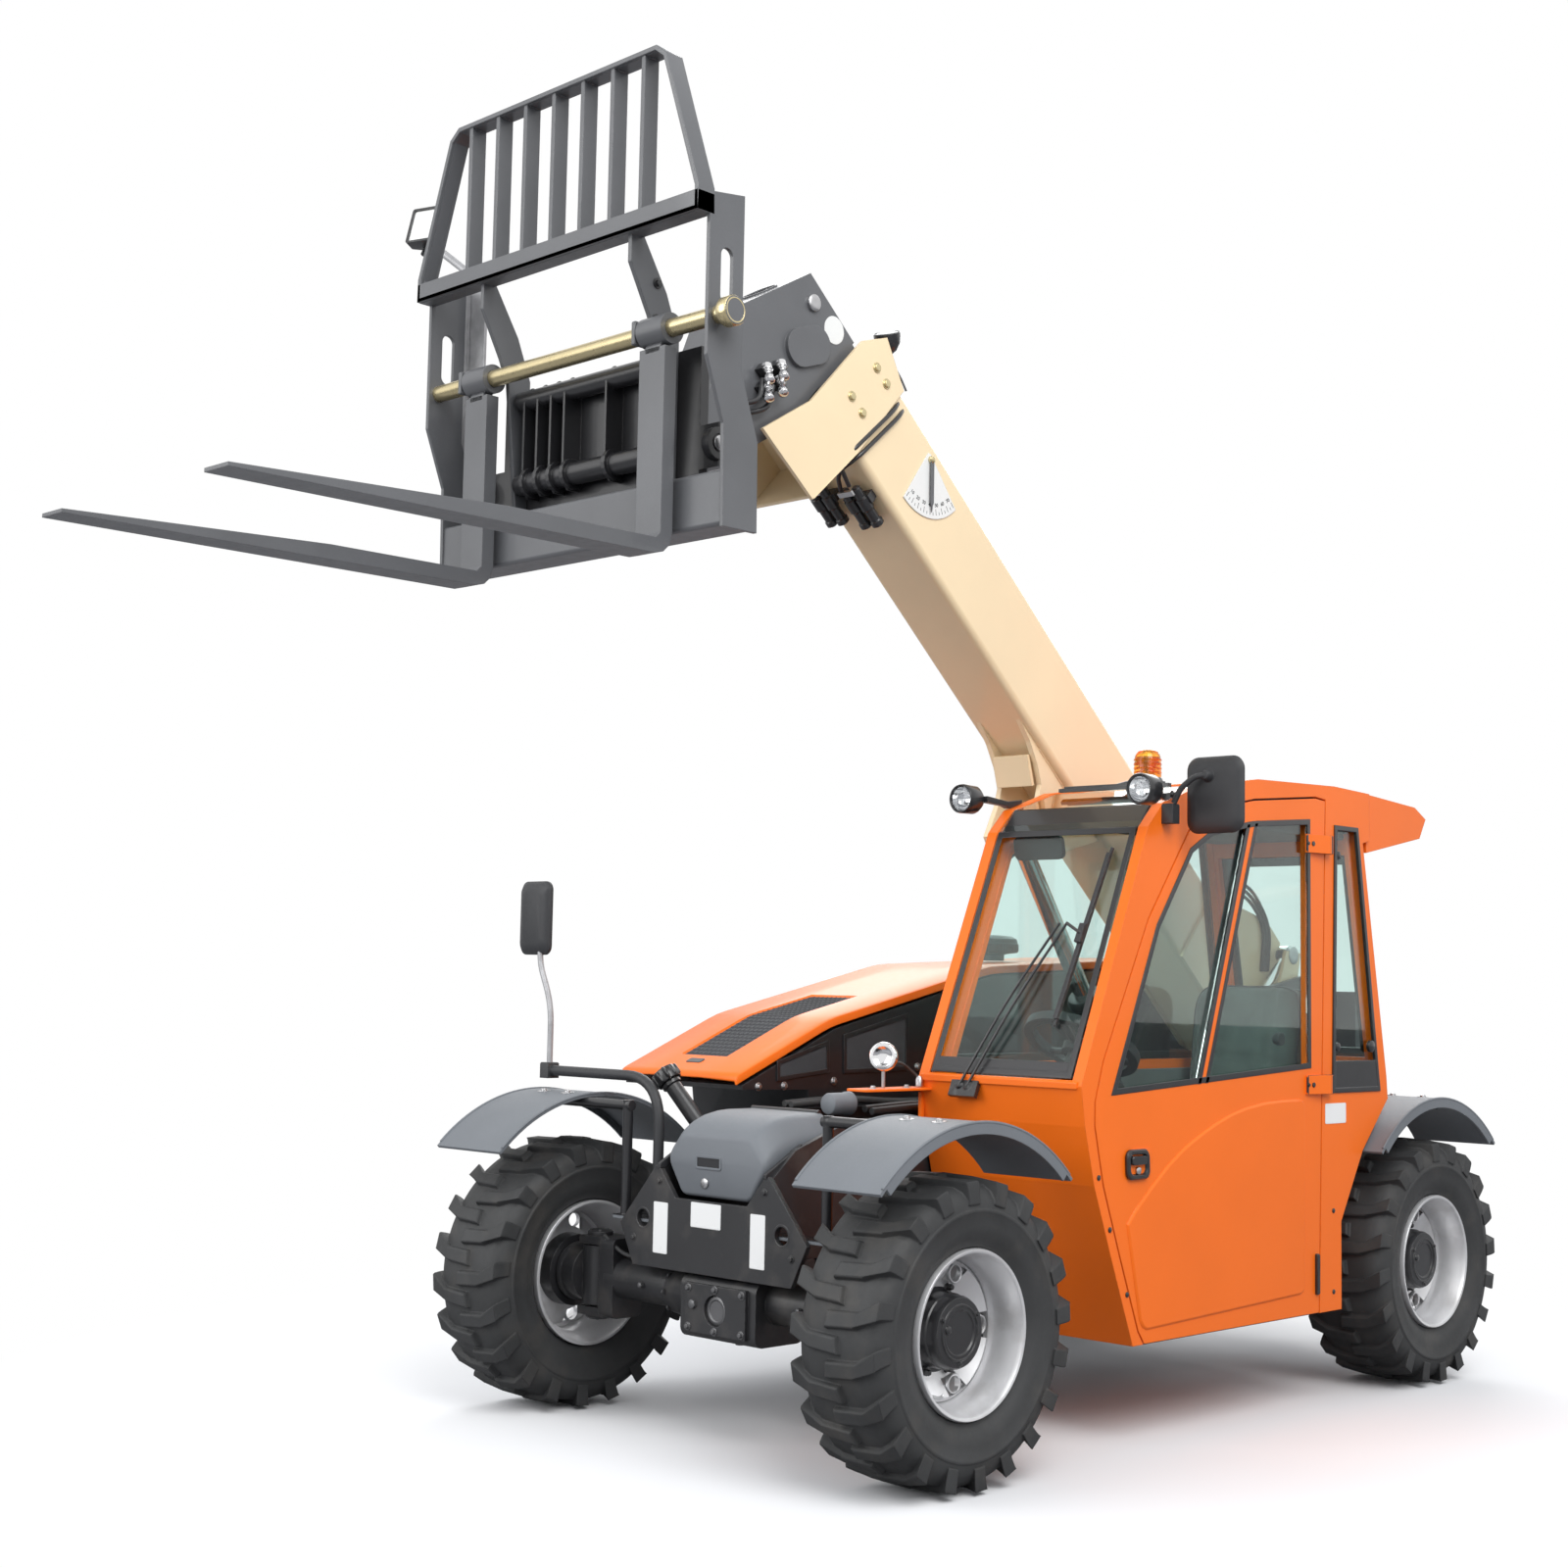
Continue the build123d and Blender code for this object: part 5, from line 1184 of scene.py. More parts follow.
def fenders():
    """Bolts, lip lines and posts of the plastic fenders."""
    bolts, beads, posts = Shape(), Shape(), Shape()
    for _, x in AXLES:
        lean = 1 if x > 0 else -1
        hub = at(x, 0, TYRE_R)
        post_x = x + lean * 0.058
        for _, s in SIDES:
            turn = math.radians(90 - lean * 6)
            up = Vector((math.cos(turn), 0, math.sin(turn)))
            for along in (-0.058, 0.058):
                bolts.lathe(hub + up * 0.556 + Y * (s * 0.767 + along), up, [
                    (0.021, -0.001), (0.021, 0.001), (0.010, 0.0015), (0.010, 0.006),
                    (0.006, 0.009), (0.0, 0.009)], 28)
            for y in (s * 0.615, s * 0.919):
                rings = []
                for k in range(41):
                    t = math.radians(46 + 88 * k / 40)
                    out = Vector((math.cos(t), 0, math.sin(t)))
                    rings.append(circle(hub + out * 0.5555 + Y * y, out, Y, 0.0045, 8))
                beads.rings(rings)
            posts.tube([at(post_x, s * 0.420, 0.606), at(post_x, s * 0.420, 0.9605)], 0.0158, 18)
            posts.tube([at(post_x, s * 0.402, 0.944), at(post_x, s * 0.876, 0.944)], 0.0158, 18)
            posts.box(at(post_x, s * 0.341, 0.6165), (0.062, 0.208, 0.002))
    bolts.finish("fender_bolts", STEEL, "chassis", angle=40)
    posts.finish("fender_posts", BLACK, "chassis", angle=50)
    beads.finish("fender_beads", PLASTIC, "chassis", angle=60)


def axle_parts():
    """Bolts of the cases, kingpin caps, steering cylinders, brake lines and knuckle cases."""
    bolts, rods, chrome, lines = Shape(), Shape(), Shape(), Shape()
    for _, x in AXLES:
        lean = 1 if x > 0 else -1
        face = x + lean * 0.112
        for y, z in ((-0.075, 0.330), (0.035, 0.326), (0.145, 0.330), (-0.075, 0.440),
                     (0.035, 0.444), (0.145, 0.440)):
            bolts.bolt(at(face, y, z), X * lean, 0.008, 0.008)
        bolts.lathe(at(face, 0.035, 0.385), X * lean, [
            (0.044, -0.010), (0.040, -0.008), (0.032, -0.006), (0.028, -0.009), (0.0, -0.009)],
            40)
        bolts.lathe(at(face, -0.055, 0.395), X * lean, [
            (0.014, 0), (0.014, 0.008), (0.009, 0.010), (0.0, 0.010)], 6)
        # The drive's flange is an oval of bolts.
        for t in (2 * math.pi * k / 8 for k in range(8)):
            bolts.bolt(at(x + 0.074 * math.cos(t), -0.222, TYRE_R - 0.008 + 0.066 * math.sin(t)),
                       -Y, 0.006, 0.006)
        bolts.lathe(at(x, 0.030, 0.296), -Z, [
            (0.040, 0), (0.040, 0.008), (0.016, 0.010), (0.014, 0.018), (0.0, 0.018)], 32)
        back, height = x - lean * 0.135, 0.405
        rods.lathe(at(back, -0.21, height), Y, [
            (0.030, 0), (0.034, 0.004), (0.034, 0.416), (0.030, 0.420)], 32)
        for _, s in SIDES:
            chrome.lathe(at(back, s * 0.20, height), Y * s, [(0.014, 0), (0.014, 0.165)], 24)
            rods.lathe(at(back, s * 0.360, height), Y * s, [
                (0.020, 0), (0.022, 0.006), (0.022, 0.036), (0.014, 0.046)], 24)
            rods.tube([at(back, s * 0.395, height), at(back + lean * 0.008, s * 0.48, 0.400)],
                      0.012, 14)
            # Caps on the kingpins, held by bolts on the axle's arms.
            for z, way in ((0.535, 1), (0.295, -1)):
                rods.lathe(at(x, s * 0.600, z), Z * way, [
                    (0.040, 0), (0.040, 0.010), (0.030, 0.016), (0.0, 0.017)], 36)
                for spot in circle(at(x, s * 0.600, z + way * 0.009), X, Y, 0.030, 4, 0.5):
                    bolts.bolt(spot, Z * way, 0.005, 0.006)
            lines.tube([at(back + lean * 0.05, s * 0.10, 0.500),
                        at(x + lean * 0.02, s * 0.26, 0.505),
                        at(x + lean * 0.05, s * 0.42, 0.485),
                        at(x + lean * 0.045, s * 0.53, 0.542)], 0.006, 10)
            bolts.lathe(at(x + lean * 0.062, s * 0.330, TYRE_R), X * lean, [
                (0.009, 0), (0.009, 0.014), (0.005, 0.017)], 6)
    bolts.finish("axle_bolts", STEEL_DARK, "chassis", angle=35)
    rods.finish("steering_cylinders", CHASSIS_BLACK, "chassis", angle=40)
    chrome.finish("steering_cylinder_rods", CHROME, "chassis", angle=40)
    lines.finish("brake_lines", RUBBER, "chassis", angle=60)
    for end, x in AXLES:
        for hand, s in SIDES:
            case = Shape()
            case.lathe(at(x, s * 0.640, TYRE_R), Y * s, [
                (0.064, 0), (0.074, 0.012), (0.086, 0.046), (0.090, 0.052), (0.090, 0.062)], 48)
            for spot in circle(at(x, s * 0.6895, TYRE_R), X, Z, 0.078, 10, 0.5):
                case.bolt(spot, -Y * s, 0.006, 0.007)
            case.finish(f"knuckle_case_{end}_{hand}", CHASSIS_BLACK, f"steer_{end}_{hand}",
                        angle=35)


def tail():
    """Tail lamps, blank plate holder, tow pin, lashing eyes and the tower's bolts."""
    body, red, amber, plate = Shape(), Shape(), Shape(), Shape()
    face = -1.8452
    for s in (-1, 1):
        spot = at(face, s * 0.245, 1.060)
        body.prism(spot, -Y, Z, rounded(0.130, 0.170, 0.016), 0.020, 0.004)
        red.prism(spot + Vector((-0.020, 0, 0.034)), -Y, Z, rounded(0.112, 0.080, 0.010), 0.010,
                  0.004)
        amber.prism(spot + Vector((-0.020, 0, -0.044)), -Y, Z, rounded(0.112, 0.056, 0.010),
                    0.010, 0.004)
        body.tube([at(x, s * 0.20, z) for x, z in ((-1.845, 0.62), (-1.875, 0.62),
                                                   (-1.875, 0.70), (-1.845, 0.70))], 0.009)
        for y, z in ((0.300, 0.60), (0.300, 0.86), (0.10, 1.13)):
            body.bolt(at(face, s * y, z), -X, 0.013, 0.010)
        for spot in circle(at(-1.380, s * 0.252, 1.220), X, Z, 0.046, 6):
            body.bolt(spot, Y * s, 0.007, 0.007)
    body.lathe(at(-1.890, 0, 0.495), Z, [
        (0.0165, 0), (0.0165, 0.145), (0.024, 0.146), (0.026, 0.152), (0.026, 0.162),
        (0.010, 0.168), (0.0, 0.168)], 32)
    plate.prism(at(face, 0, 0.905), -Y, Z, rounded(0.240, 0.130, 0.008), 0.003, 0.001)
    body.finish("tail_fittings", BLACK, "chassis", angle=40)
    red.finish("tail_lenses_red", RED, "chassis")
    amber.finish("tail_lenses_amber", AMBER, "chassis")
    plate.finish("blank_plate_rear", LABEL, "chassis")


# Boom, cylinders and carriage -----------------------------------------------------------------
BOOM_UNDER = -0.186     # the boom's underside, in its own directions


def boom():
    """Collar bolts, welds, pipes and quick couplers."""
    bolts = Shape()
    for u, v in ((2.998, 0.072), (2.936, 0.070), (3.008, -0.088), (2.943, -0.088)):
        for s in (-1, 1):
            bolts.lathe(on_boom(u, s * 0.1335, v), Y * s, [
                (0.017, 0), (0.017, 0.002), (0.012, 0.002), (0.0115, 0.008), (0.006, 0.009),
                (0.0, 0.009)], 28)
    for u in (2.98, 3.02):
        for y in (-0.07, 0.07):
            bolts.bolt(on_boom(u, y, 0.1430), BOOM_UP, 0.009, 0.007)
    bolts.finish("collar_bolts", GOLD, "boom", angle=40)
    weld = Shape()
    for s in (-1, 1):
        for y, r, ends in ((0.1225, 0.004, ((2.868, BOOM_UNDER), (2.868, 0.118))),
                           (0.134, 0.002, ((2.902, -0.455), (2.872, -0.190))),
                           (0.095, 0.004, ((1.60, -0.1905), (1.19, -0.1905)))):
            weld.tube([on_boom(u, s * y, v) for u, v in ends], r, 8)
    weld.finish("boom_welds", CREAM, "boom", angle=60)
    pipes = Shape()
    side_y = 0.1315
    turn, run = BOOM_UNDER - 0.018, BOOM_UNDER - 0.055
    for k, u in enumerate((2.845, 2.816)):
        pipes.tube([on_boom(u, -side_y, 0.04), on_boom(u, -side_y, 0.131),
                    on_boom(u, side_y, 0.133), on_boom(u + 0.045, side_y, turn),
                    on_boom(u + 0.030, 0.085 - 0.03 * k, run),
                    on_boom(u - 0.060, 0.062 - 0.05 * k, run + 0.005)], 0.0072)
        pipes.tube([on_boom(u, -side_y, 0.05), on_boom(u + 0.030, -side_y, turn),
                    on_boom(u + 0.025, -0.085 + 0.02 * k, run),
                    on_boom(u - 0.030, -0.100 + 0.045 * k, run + 0.010)], 0.0072)
    pipes.finish("boom_pipes", BLACK, "boom", angle=60)
    couplers = Shape()
    for y in (-0.108, -0.062, 0.018, 0.066):
        couplers.lathe(on_boom(2.800 if y < 0 else 2.770, y, -0.222), -BOOM_DIR, [
            (0.009, 0), (0.016, 0.006), (0.016, 0.040), (0.021, 0.044), (0.021, 0.086),
            (0.017, 0.090), (0.017, 0.130), (0.021, 0.134), (0.021, 0.150), (0.012, 0.156),
            (0.0, 0.157)], 24)
    for y, u in ((-0.085, 2.745), (0.042, 2.715)):
        couplers.box(on_boom(u, y, -0.205), (0.030, 0.105, 0.034), u=BOOM_DIR, inset=0.003)
    couplers.finish("quick_couplers", BLACK, "boom", angle=40)
    tags = Shape()
    for y, u in ((-0.085, 2.790), (0.042, 2.765)):
        tags.box(on_boom(u, y, -0.246), (0.018, 0.060, 0.010), u=BOOM_DIR, inset=0.002)
    tags.finish("coupler_clips", STEEL, "boom")
    boom_lamp()
    angle_scale()
    # Foot: round nut on the lug, and hose loops beside the pivot.
    foot = Shape()
    foot.lathe(at(-1.455, 0.2118, 1.462), Y, [
        (0.033, 0), (0.033, 0.002), (0.028, 0.0035), (0.012, 0.0035), (0.0, 0.0025)], 36)
    foot.finish("foot_pin", STEEL, "boom", angle=40)
    hoses = Shape()
    y = 0.1405
    for drop in (0.0, 0.020, 0.040):
        hoses.tube([at(-1.02, y, 1.66 - drop), at(-1.13, y, 1.74 - drop),
                    at(-1.28 + drop / 2, y, 1.71 - drop), at(-1.41 + drop, y, 1.57),
                    at(-1.39 + drop, y, 1.40)], 0.0065, 12, 8)
    hoses.finish("foot_hoses", RUBBER, "boom", angle=60)


def boom_lamp():
    """Lamp on the collar, facing forwards, with its held cable."""
    lamp = Shape()
    spot = on_boom(3.010, 0.098, 0.218)
    ahead = (BOOM_DIR * 0.60 + Y * 0.10 + BOOM_UP * 0.35 - Z * 0.10).normalized()
    lamp.lathe(spot - ahead * 0.028, ahead, [
        (0.012, -0.020), (0.026, -0.010), (0.040, 0.012), (0.043, 0.034), (0.0435, 0.046),
        (0.040, 0.048), (0.038, 0.042)], 44)
    lamp.tube([on_boom(3.000, 0.096, 0.140), on_boom(3.000, 0.096, 0.180),
               spot - ahead * 0.030], 0.008)
    lamp.tube([spot - ahead * 0.045, on_boom(2.945, 0.085, 0.190),
               on_boom(2.900, 0.115, 0.160), on_boom(2.860, 0.128, 0.135)], 0.0035, 8)
    lamp.finish("boom_lamp", BLACK, "boom", angle=50)
    lens = Shape()
    lens.lathe(spot + ahead * 0.0135, ahead, [
        (0.0385, 0), (0.0385, 0.004), (0.026, 0.008), (0.0, 0.010)], 40)
    lens.finish("boom_lamp_lens", WHITE, "boom", angle=60)


def angle_scale():
    """White fan with ticks and numbers, a gold pin, and a dark pendulum that hangs plumb."""
    pin = on_boom(2.635, 0.1248, 0.068)
    fan = Shape()
    outline = [(0.0, 0.020)] + arc((0, 0), 0.190, -132, -48, 28) + [(0.012, 0.020)]
    fan.prism(pin - Y * 0.0030, X, Z, outline[::-1], -0.0036)
    fan.finish("angle_fan", WHITE, "boom", replaces=("angle_indicator",))
    ticks = Shape()
    for k in range(17):
        t = math.radians(-130 + 5 * k)
        way = X * math.cos(t) + Z * math.sin(t)
        across = way.cross(Y)
        length = 0.010 if k % 2 else 0.020
        ticks.prism(pin + way * 0.178 - across * 0.0009 + Y * 0.0004, -way, across,
                    quad((0, 0), (length, 0.0018)), 0.0006)
    ticks.finish("angle_ticks", BLACK, "boom")
    for k, number in enumerate((70, 60, 50, 40, 30, 20, 10)):
        t = math.radians(-126 + 12 * k)
        scale_number(number, pin, X * math.cos(t) + Z * math.sin(t))
    needle = Shape()
    needle.prism(pin + Y * 0.006, X, Z, [
        (-0.0085, 0.010), (-0.0085, -0.140), (-0.004, -0.150), (0.0, -0.172), (0.004, -0.150),
        (0.0085, -0.140), (0.0085, 0.010)], -0.004)
    needle.finish("angle_needle", CHARCOAL, "boom", bevel=0.001)
    knob = Shape()
    knob.lathe(pin + Y * 0.001, Y, [
        (0.012, 0), (0.012, 0.008), (0.010, 0.010), (0.010, 0.012), (0.006, 0.014),
        (0.0, 0.014)], 28)
    knob.finish("angle_pin", GOLD, "boom", angle=40)


def scale_number(number, pin, way):
    """One number of the angle scale, with its foot turned away from the pin."""
    name = f"angle_number_{number}"
    curve = bpy.data.curves.new(name, "FONT")
    curve.body = str(number)
    curve.size = 0.017
    curve.extrude = 0.0003
    curve.align_x = "CENTER"
    curve.align_y = "CENTER"
    text = bpy.data.objects.new(name, curve)
    right = Y.cross(way)
    text.matrix_world = (Matrix.Translation(pin + way * 0.146 + Y * 0.0012)
                         @ Matrix((right, -way, right.cross(-way))).transposed().to_4x4())
    bpy.context.scene.collection.objects.link(text)
    bpy.context.view_layer.update()
    mesh = bpy.data.meshes.new_from_object(text)
    mesh.transform(text.matrix_world)
    mesh.materials.clear()
    bpy.data.objects.remove(text)
    bpy.data.curves.remove(curve)
    add_piece(name, mesh, BLACK, "boom")


def nose():
    """Blank disc, pins, couplers with their hoses, and the oval opening's lip."""
    y = 0.0952
    body = "boom_extension"
    disc = Shape()
    disc.lathe(on_boom(3.176, y - 0.0002, 0.038), Y, [(0.044, 0), (0.044, 0.0012),
                                                      (0.0, 0.0014)], 56)
    disc.finish("blank_disc", WHITE, body)
    pin = Shape()
    pin.lathe(on_boom(3.290, y, 0.022), Y, [(0.026, 0), (0.026, 0.010), (0.022, 0.013),
                                            (0.008, 0.014), (0.0, 0.012)], 36)
    pin.finish("nose_pin", STEEL, body, angle=40)
    fittings, dark = Shape(), Shape()
    way = (Y * 0.35 - Z * 0.75 + BOOM_DIR * 0.25).normalized()
    for u, v in ((3.255, -0.262), (3.225, -0.300), (3.285, -0.318), (3.250, -0.360)):
        base = on_boom(u, y, v)
        dark.box(base + Y * 0.016, (0.036, 0.032, 0.032), u=BOOM_DIR, inset=0.003)
        fittings.lathe(base + Y * 0.030 - way * 0.02, way, [
            (0.011, 0), (0.017, 0.004), (0.017, 0.026), (0.013, 0.030), (0.013, 0.046),
            (0.016, 0.050), (0.016, 0.070), (0.008, 0.074), (0.0, 0.074)], 24)
    fittings.finish("nose_fittings", CHROME, body, angle=40)
    for hose in (((3.235, 0.025, -0.33), (3.205, 0.035, -0.40), (3.24, 0.020, -0.47),
                  (3.30, 0.012, -0.50)),
                 ((3.275, 0.025, -0.35), (3.245, 0.040, -0.42), (3.29, 0.022, -0.49))):
        dark.tube([on_boom(u, y + out, v) for u, out, v in hose], 0.008)
    dark.finish("nose_hoses", BLACK, body, angle=50)
    # Lip round the oval opening in the sloping end, and the tilt pin's ends.
    slope = Vector((0.115, -0.332)).normalized()
    along = BOOM_DIR * slope.x + BOOM_UP * slope.y
    outward = along.cross(Y)
    lips = Shape()
    lips.strip(on_boom(3.405, 0, -0.050) - outward * 0.001, Y, along,
               rounded(0.092, 0.128, 0.0459, 8), 0.005, -0.006)
    for s in (-1, 1):
        lips.lathe(at(1.720, s * 0.149, 2.750), Y * s, [
            (0.034, 0), (0.034, 0.006), (0.026, 0.010), (0.010, 0.011), (0.0, 0.009)], 40)
    lips.finish("nose_lips", CHARCOAL, body, angle=40)


def gland(name, foot, eye, y, barrel, r, rod, way):
    """The gland, foot ring, port and hose of a cylinder whose barrel has a given length."""
    run = Vector((eye[0] - foot[0], 0, eye[1] - foot[1])).normalized()
    up = run.cross(Y) * way
    base = at(foot[0], y, foot[1])
    shape = Shape()
    shape.lathe(base + run * barrel, run, [
        (r, 0), (r + 0.003, 0.003), (r + 0.003, 0.026), (r * 0.92, 0.036), (rod, 0.0365)], 40)
    shape.lathe(base + run * 0.075, run, [
        (r, 0), (r + 0.003, 0.003), (r + 0.003, 0.014), (r, 0.017)], 40)
    port = base + run * (barrel - 0.04) + up * (r - 0.004)
    shape.lathe(port, up, [(0.014, 0), (0.014, 0.016), (0.010, 0.018), (0.010, 0.026)], 20)
    shape.tube([port + up * 0.020, port + up * 0.036, port + up * 0.034 - run * 0.10,
                base + run * 0.12 + up * (r + 0.016), base + run * 0.09 + up * (r + 0.002)],
               0.006, 10)
    shape.finish(f"{name}_gland", BLACK, f"{name}_barrel", angle=40)


def cylinders():
    """Glands and hose ports of the two cylinders, from each foot to its eye."""
    gland("lift", (-1.000, 0.500), (-0.063, 1.826), 0.0, 0.945, 0.060, 0.033, 1)
    foot, eye = (-0.930, 0.985), (-1.455, 1.462)
    level = math.dist(foot, eye) - 0.285
    gland("level", foot, eye, 0.176, level, 0.0245, 0.0167, -1)


def carriage():
    """Gold rod with its end caps, pin buttons, bolts, backrest bars and welds."""
    rod_x, rod_z = 1.968, 3.050
    gold = Shape()
    gold.lathe(at(rod_x, -0.598, rod_z), Y, [(0.0243, 0), (0.0243, 1.196)], 40)
    gold.lathe(at(rod_x, -0.6065, rod_z), -Y, [(0.0243, 0), (0.0243, 0.012), (0.020, 0.014),
                                               (0.0, 0.014)], 40)
    gold.lathe(at(rod_x, 0.6345, rod_z), Y, [
        (0.024, 0.0), (0.038, 0.001), (0.040, 0.005), (0.040, 0.033), (0.037, 0.037),
        (0.030, 0.038), (0.029, 0.036), (0.0, 0.036)], 48)
    gold.lathe(at(rod_x, 0.6065, rod_z), Y, [(0.0243, 0), (0.0243, 0.030)], 40)
    gold.finish("carriage_rod", GOLD, "carriage", angle=40)
    steel, dark = Shape(), Shape()
    for s, rod_end, bracket in ((-1, -0.620, -0.325), (1, 0.668, 0.331)):
        steel.lathe(at(1.852, s * 0.497, 2.750), Y * s, [
            (0.021, 0), (0.021, 0.007), (0.017, 0.010), (0.0, 0.011)], 36)
        steel.lathe(at(rod_x, rod_end, rod_z), Y * s, [(0.012, 0), (0.012, 0.003),
                                                       (0.0, 0.0035)], 28)
        dark.lathe(at(1.852, s * 0.4965, 2.750), Y * s, [
            (0.043, 0), (0.043, 0.003), (0.026, 0.004), (0.024, 0.001)], 40, caps=False)
        for z in (3.10, 3.20):
            dark.bolt(at(1.935, bracket, z), Y * s, 0.010, 0.008)
    steel.finish("pin_buttons", STEEL, "carriage", angle=40)
    dark.finish("carriage_fixings", BLACK, "carriage", angle=40)
    # The backrest's bars and rim are deeper than their plates.
    bar_ys = [0.125 * k for k in range(-3, 4)]
    rest = Shape()
    for y in bar_ys:
        rest.box(at(2.020, y, 3.576), (0.050, 0.0155, 0.424))
    rest.strip(at(1.990, 0, 0), Y, Z, [
        (-0.6065, 3.3115), (0.6065, 3.3115), (0.6065, 3.380), (0.4703, 3.7703),
        (0.4302, 3.8005), (-0.4302, 3.8005), (-0.4703, 3.7703), (-0.6065, 3.380)], 0.0135, 0.060)
    rest.box(at(2.020, 0, 3.3388), (0.060, 1.213, 0.0546))
    rest.finish("backrest_bars", CHARCOAL, "carriage", bevel=0.0015)
    weld = Shape()
    for y in bar_ys:
        for z in (3.368, 3.785):
            for foot in (y - 0.009, y + 0.009):
                weld.tube([at(2.004, foot, z), at(2.036, foot, z)], 0.003, 6, 0)
    for y in (-0.597, 0.597):
        weld.tube([at(2.003, y, 3.315), at(2.003, y, 3.365)], 0.004, 6, 0)
    weld.finish("carriage_welds", CHARCOAL, "carriage", angle=60)
    # Fork heels: a catch on top of each shank and a stop beside it.
    heel = Shape()
    for y in (-0.380, 0.380):
        heel.prism(at(1.952, y + 0.030, 2.985), X, Z, [
            (0, 0), (0.040, 0), (0.040, 0.020), (0.028, 0.034), (0.004, 0.034)], 0.060)
        heel.box(at(1.975, y - 0.062, 3.050), (0.066, 0.014, 0.066), inset=0.004)
    heel.finish("fork_stops", CHARCOAL, "carriage", bevel=0.003)
    work_lamp()


def work_lamp():
    """The carriage's work lamp on its angled post."""
    post = Shape()
    post.prism(at(1.846, -0.570, 2.600), Y, Z, quad((-0.040, 0), (0.040, 0.860)), 0.010)
    post.prism(at(1.846, -0.610, 2.600), X, Z, quad((0, 0), (0.028, 0.860)), -0.006)
    post.tube([at(1.856, -0.600, 3.440), at(1.866, -0.680, 3.500), at(1.880, -0.760, 3.560)],
              0.012, 14)
    post.finish("lamp_post", SILVER_GREY, "carriage", bevel=0.002)
    turn = Vector((0.90, 0.30, 0.30)).normalized()
    side = Z.cross(turn).normalized()
    up = turn.cross(side)
    place = at(1.895, -0.795, 3.625)
    outer, inner = rounded(0.095, 0.125, 0.008), rounded(0.080, 0.110, 0.006)
    box = Shape().layers(place, side, up, turn, [
        (rounded(0.060, 0.085, 0.010), -0.055), (outer, -0.015), (outer, 0.020), (inner, 0.020),
        (inner, 0.010)])
    box.tube([place - turn * 0.03 - up * 0.045, place - up * 0.085 - turn * 0.02], 0.008)
    box.finish("work_lamp_box", BLACK, "carriage", angle=40, bevel=0.001)
    pane = Shape()
    pane.prism(place + turn * 0.0105, side, up, inner, 0.004)
    pane.finish("work_lamp_pane", WHITE, "carriage")


hood()
engine_side()
front()
fenders()
axle_parts()
tail()
boom()
nose()
cylinders()
carriage()


# Camera, lamps and floor ----------------------------------------------------------------------
def aim_camera():
    """The photograph's own view: where it was taken from, its heading and its roll."""
    yaw, pitch, roll = (math.radians(a) for a in (224.591, 5.055, 1.120))
    ahead = Vector((math.cos(pitch) * math.cos(yaw), math.cos(pitch) * math.sin(yaw),
                    math.sin(pitch)))
    level = ahead.cross(Z).normalized()
    plumb = level.cross(ahead)
    right = level * math.cos(roll) + plumb * math.sin(roll)
    up = plumb * math.cos(roll) - level * math.sin(roll)
    data = bpy.data.cameras.new("camera")
    data.lens = 50.28
    data.sensor_width = 36
    camera = bpy.data.objects.new("camera", data)
    turn = Matrix((right, up, -ahead)).transposed().to_4x4()
    camera.matrix_world = Matrix.Translation((5.114, 4.641, 1.341)) @ turn
    bpy.context.scene.collection.objects.link(camera)
    bpy.context.scene.camera = camera


def softbox(name, place, target, size, power):
    """A soft square lamp."""
    data = bpy.data.lights.new(name, "AREA")
    data.shape = "RECTANGLE"
    data.size, data.size_y, data.energy = size, size, power
    lamp = bpy.data.objects.new(name, data)
    lamp.location = place
    away = Vector(target) - Vector(place)
    lamp.rotation_euler = away.to_track_quat("-Z", "Y").to_euler()
    bpy.context.scene.collection.objects.link(lamp)


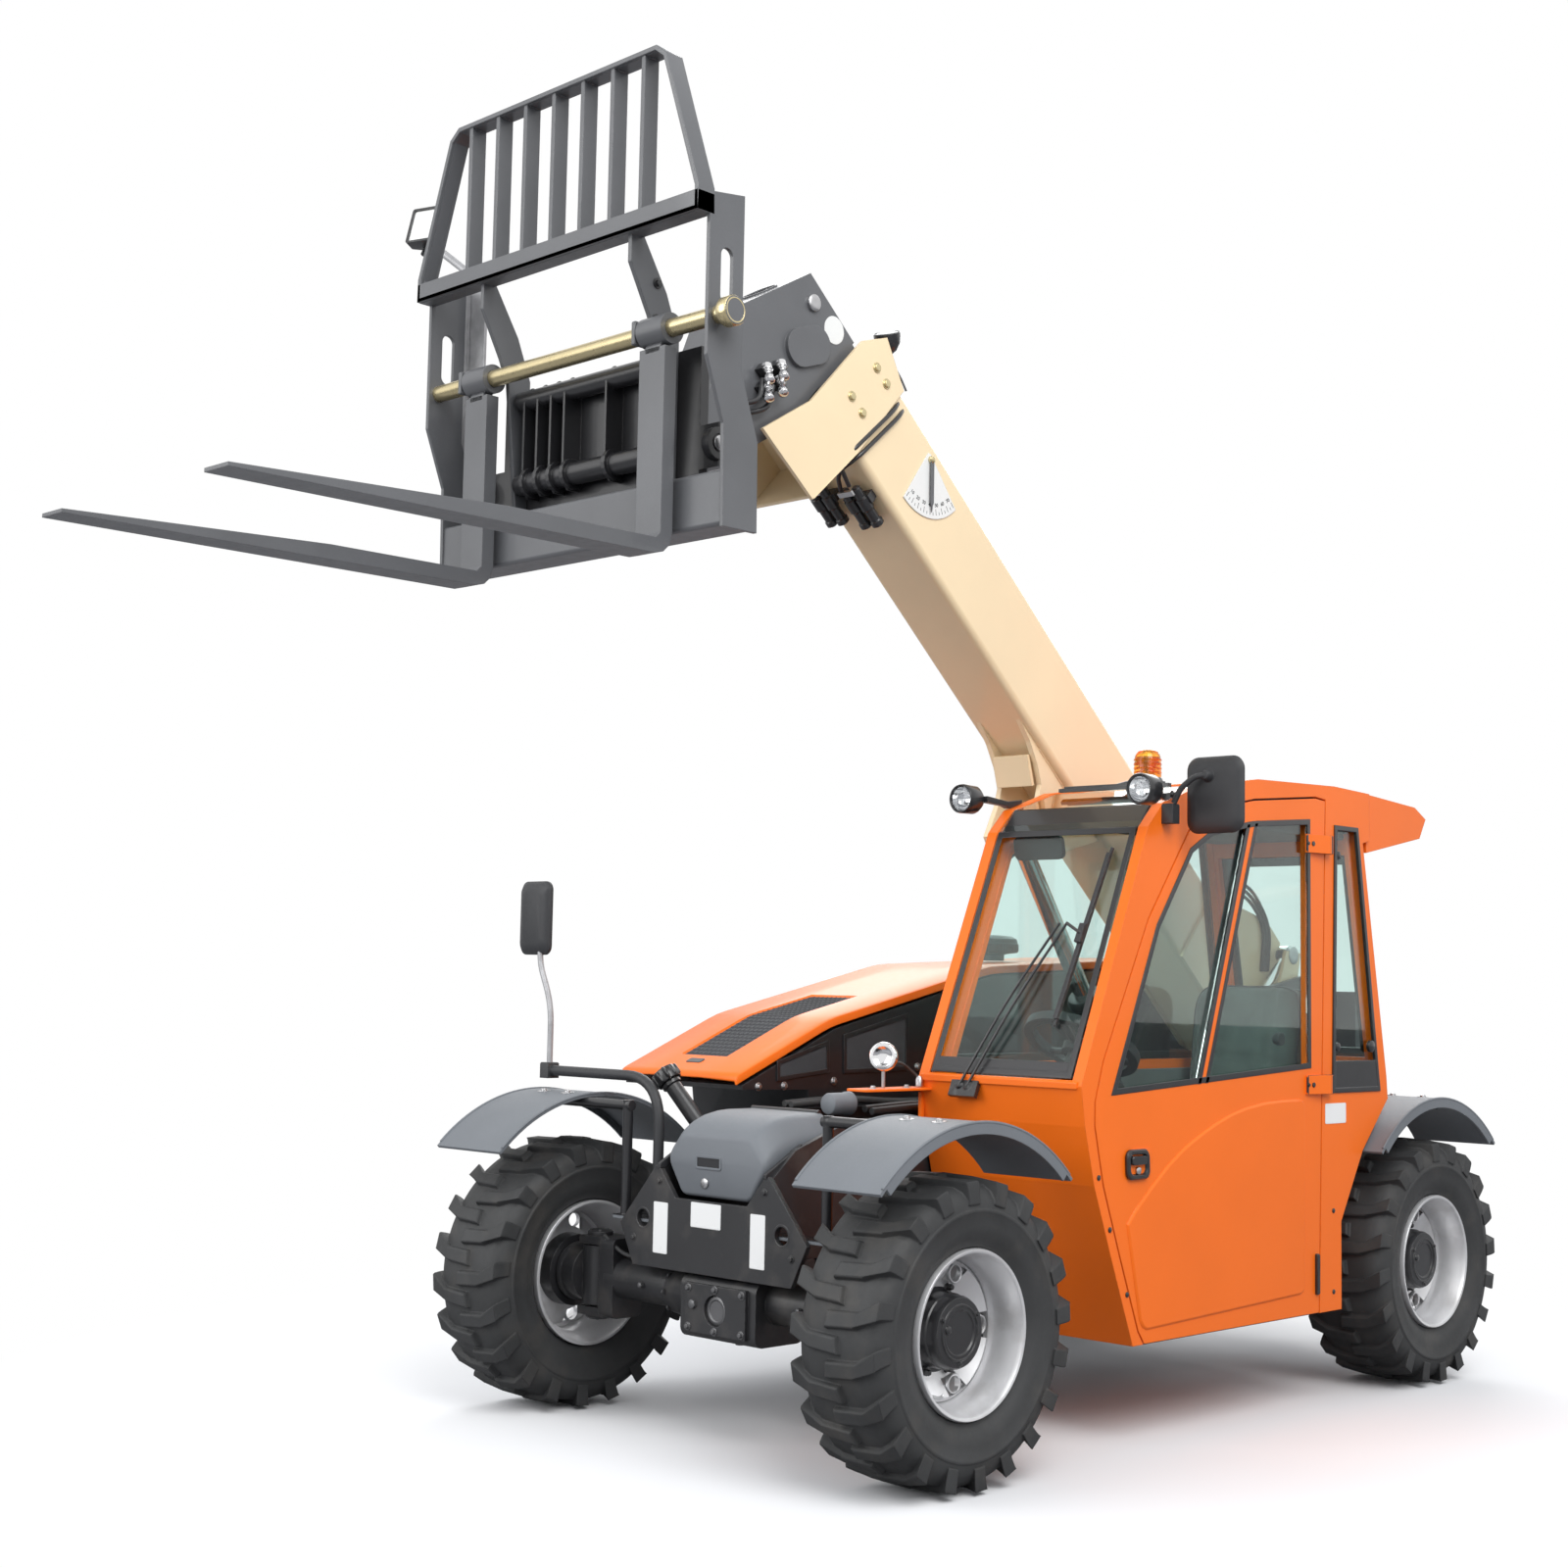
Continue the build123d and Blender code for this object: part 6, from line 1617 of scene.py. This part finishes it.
def studio():
    """Pale world, three soft lamps and a floor that fades into white away from the machine."""
    world = bpy.data.worlds.new("studio")
    bpy.context.scene.world = world
    world.use_nodes = True
    n = Nodes(world.node_tree, "ShaderNodeOutputWorld")
    path = n.add("ShaderNodeLightPath").outputs
    seen = n.maths("MAXIMUM", path["Is Camera Ray"], path["Is Transmission Ray"])
    seen = n.maths("MAXIMUM", seen, path["Is Glossy Ray"])
    lit = n.add("ShaderNodeBackground", {"Strength": 0.80, "Color": (0.93, 0.96, 1.0)})
    shown = n.add("ShaderNodeBackground", {"Color": (1, 1, 1)})
    n.blend(seen, lit.outputs["Background"], shown.outputs["Background"])

    softbox("key", (3.0, 6.5, 7.5), (0, 0, 1), 6, 620)
    softbox("fill", (7.5, -2.5, 4.5), (0, 0, 1.2), 5, 300)
    softbox("back", (-6.5, -4.0, 6.5), (0, 0, 1.2), 6, 330)

    mesh = bpy.data.meshes.new("floor")
    half = 60.0
    mesh.from_pydata([(x, y, 0) for x, y in quad((-half, -half), (half, half))], [],
                     [(0, 1, 2, 3)])
    floor = bpy.data.objects.new("floor", mesh)
    bpy.context.scene.collection.objects.link(floor)
    material, n = new_material("floor_white")
    # The camera sees a paler floor than the one that lights the machine from below.
    camera_ray = n.add("ShaderNodeLightPath").outputs["Is Camera Ray"]
    matte = n.add("ShaderNodeBsdfDiffuse", {
        "Color": n.mix(camera_ray, (0.30, 0.30, 0.31), (0.86, 0.86, 0.87))})
    glow = n.add("ShaderNodeEmission", {"Color": (1, 1, 1)})
    place = n.add("ShaderNodeNewGeometry").outputs["Position"]
    offset = n.add("ShaderNodeVectorMath", {0: place, 1: (-0.6, 0.1, 0)}, operation="SUBTRACT")
    length = n.add("ShaderNodeVectorMath", {0: offset.outputs["Vector"]}, operation="LENGTH")
    away = n.ramp(length.outputs["Value"], 1.6, 3.4)
    n.blend(n.maths("MULTIPLY", away, camera_ray), matte.outputs["BSDF"],
            glow.outputs["Emission"])
    mesh.materials.append(material)


aim_camera()
studio()
bpy.context.scene.view_settings.view_transform = "Standard"
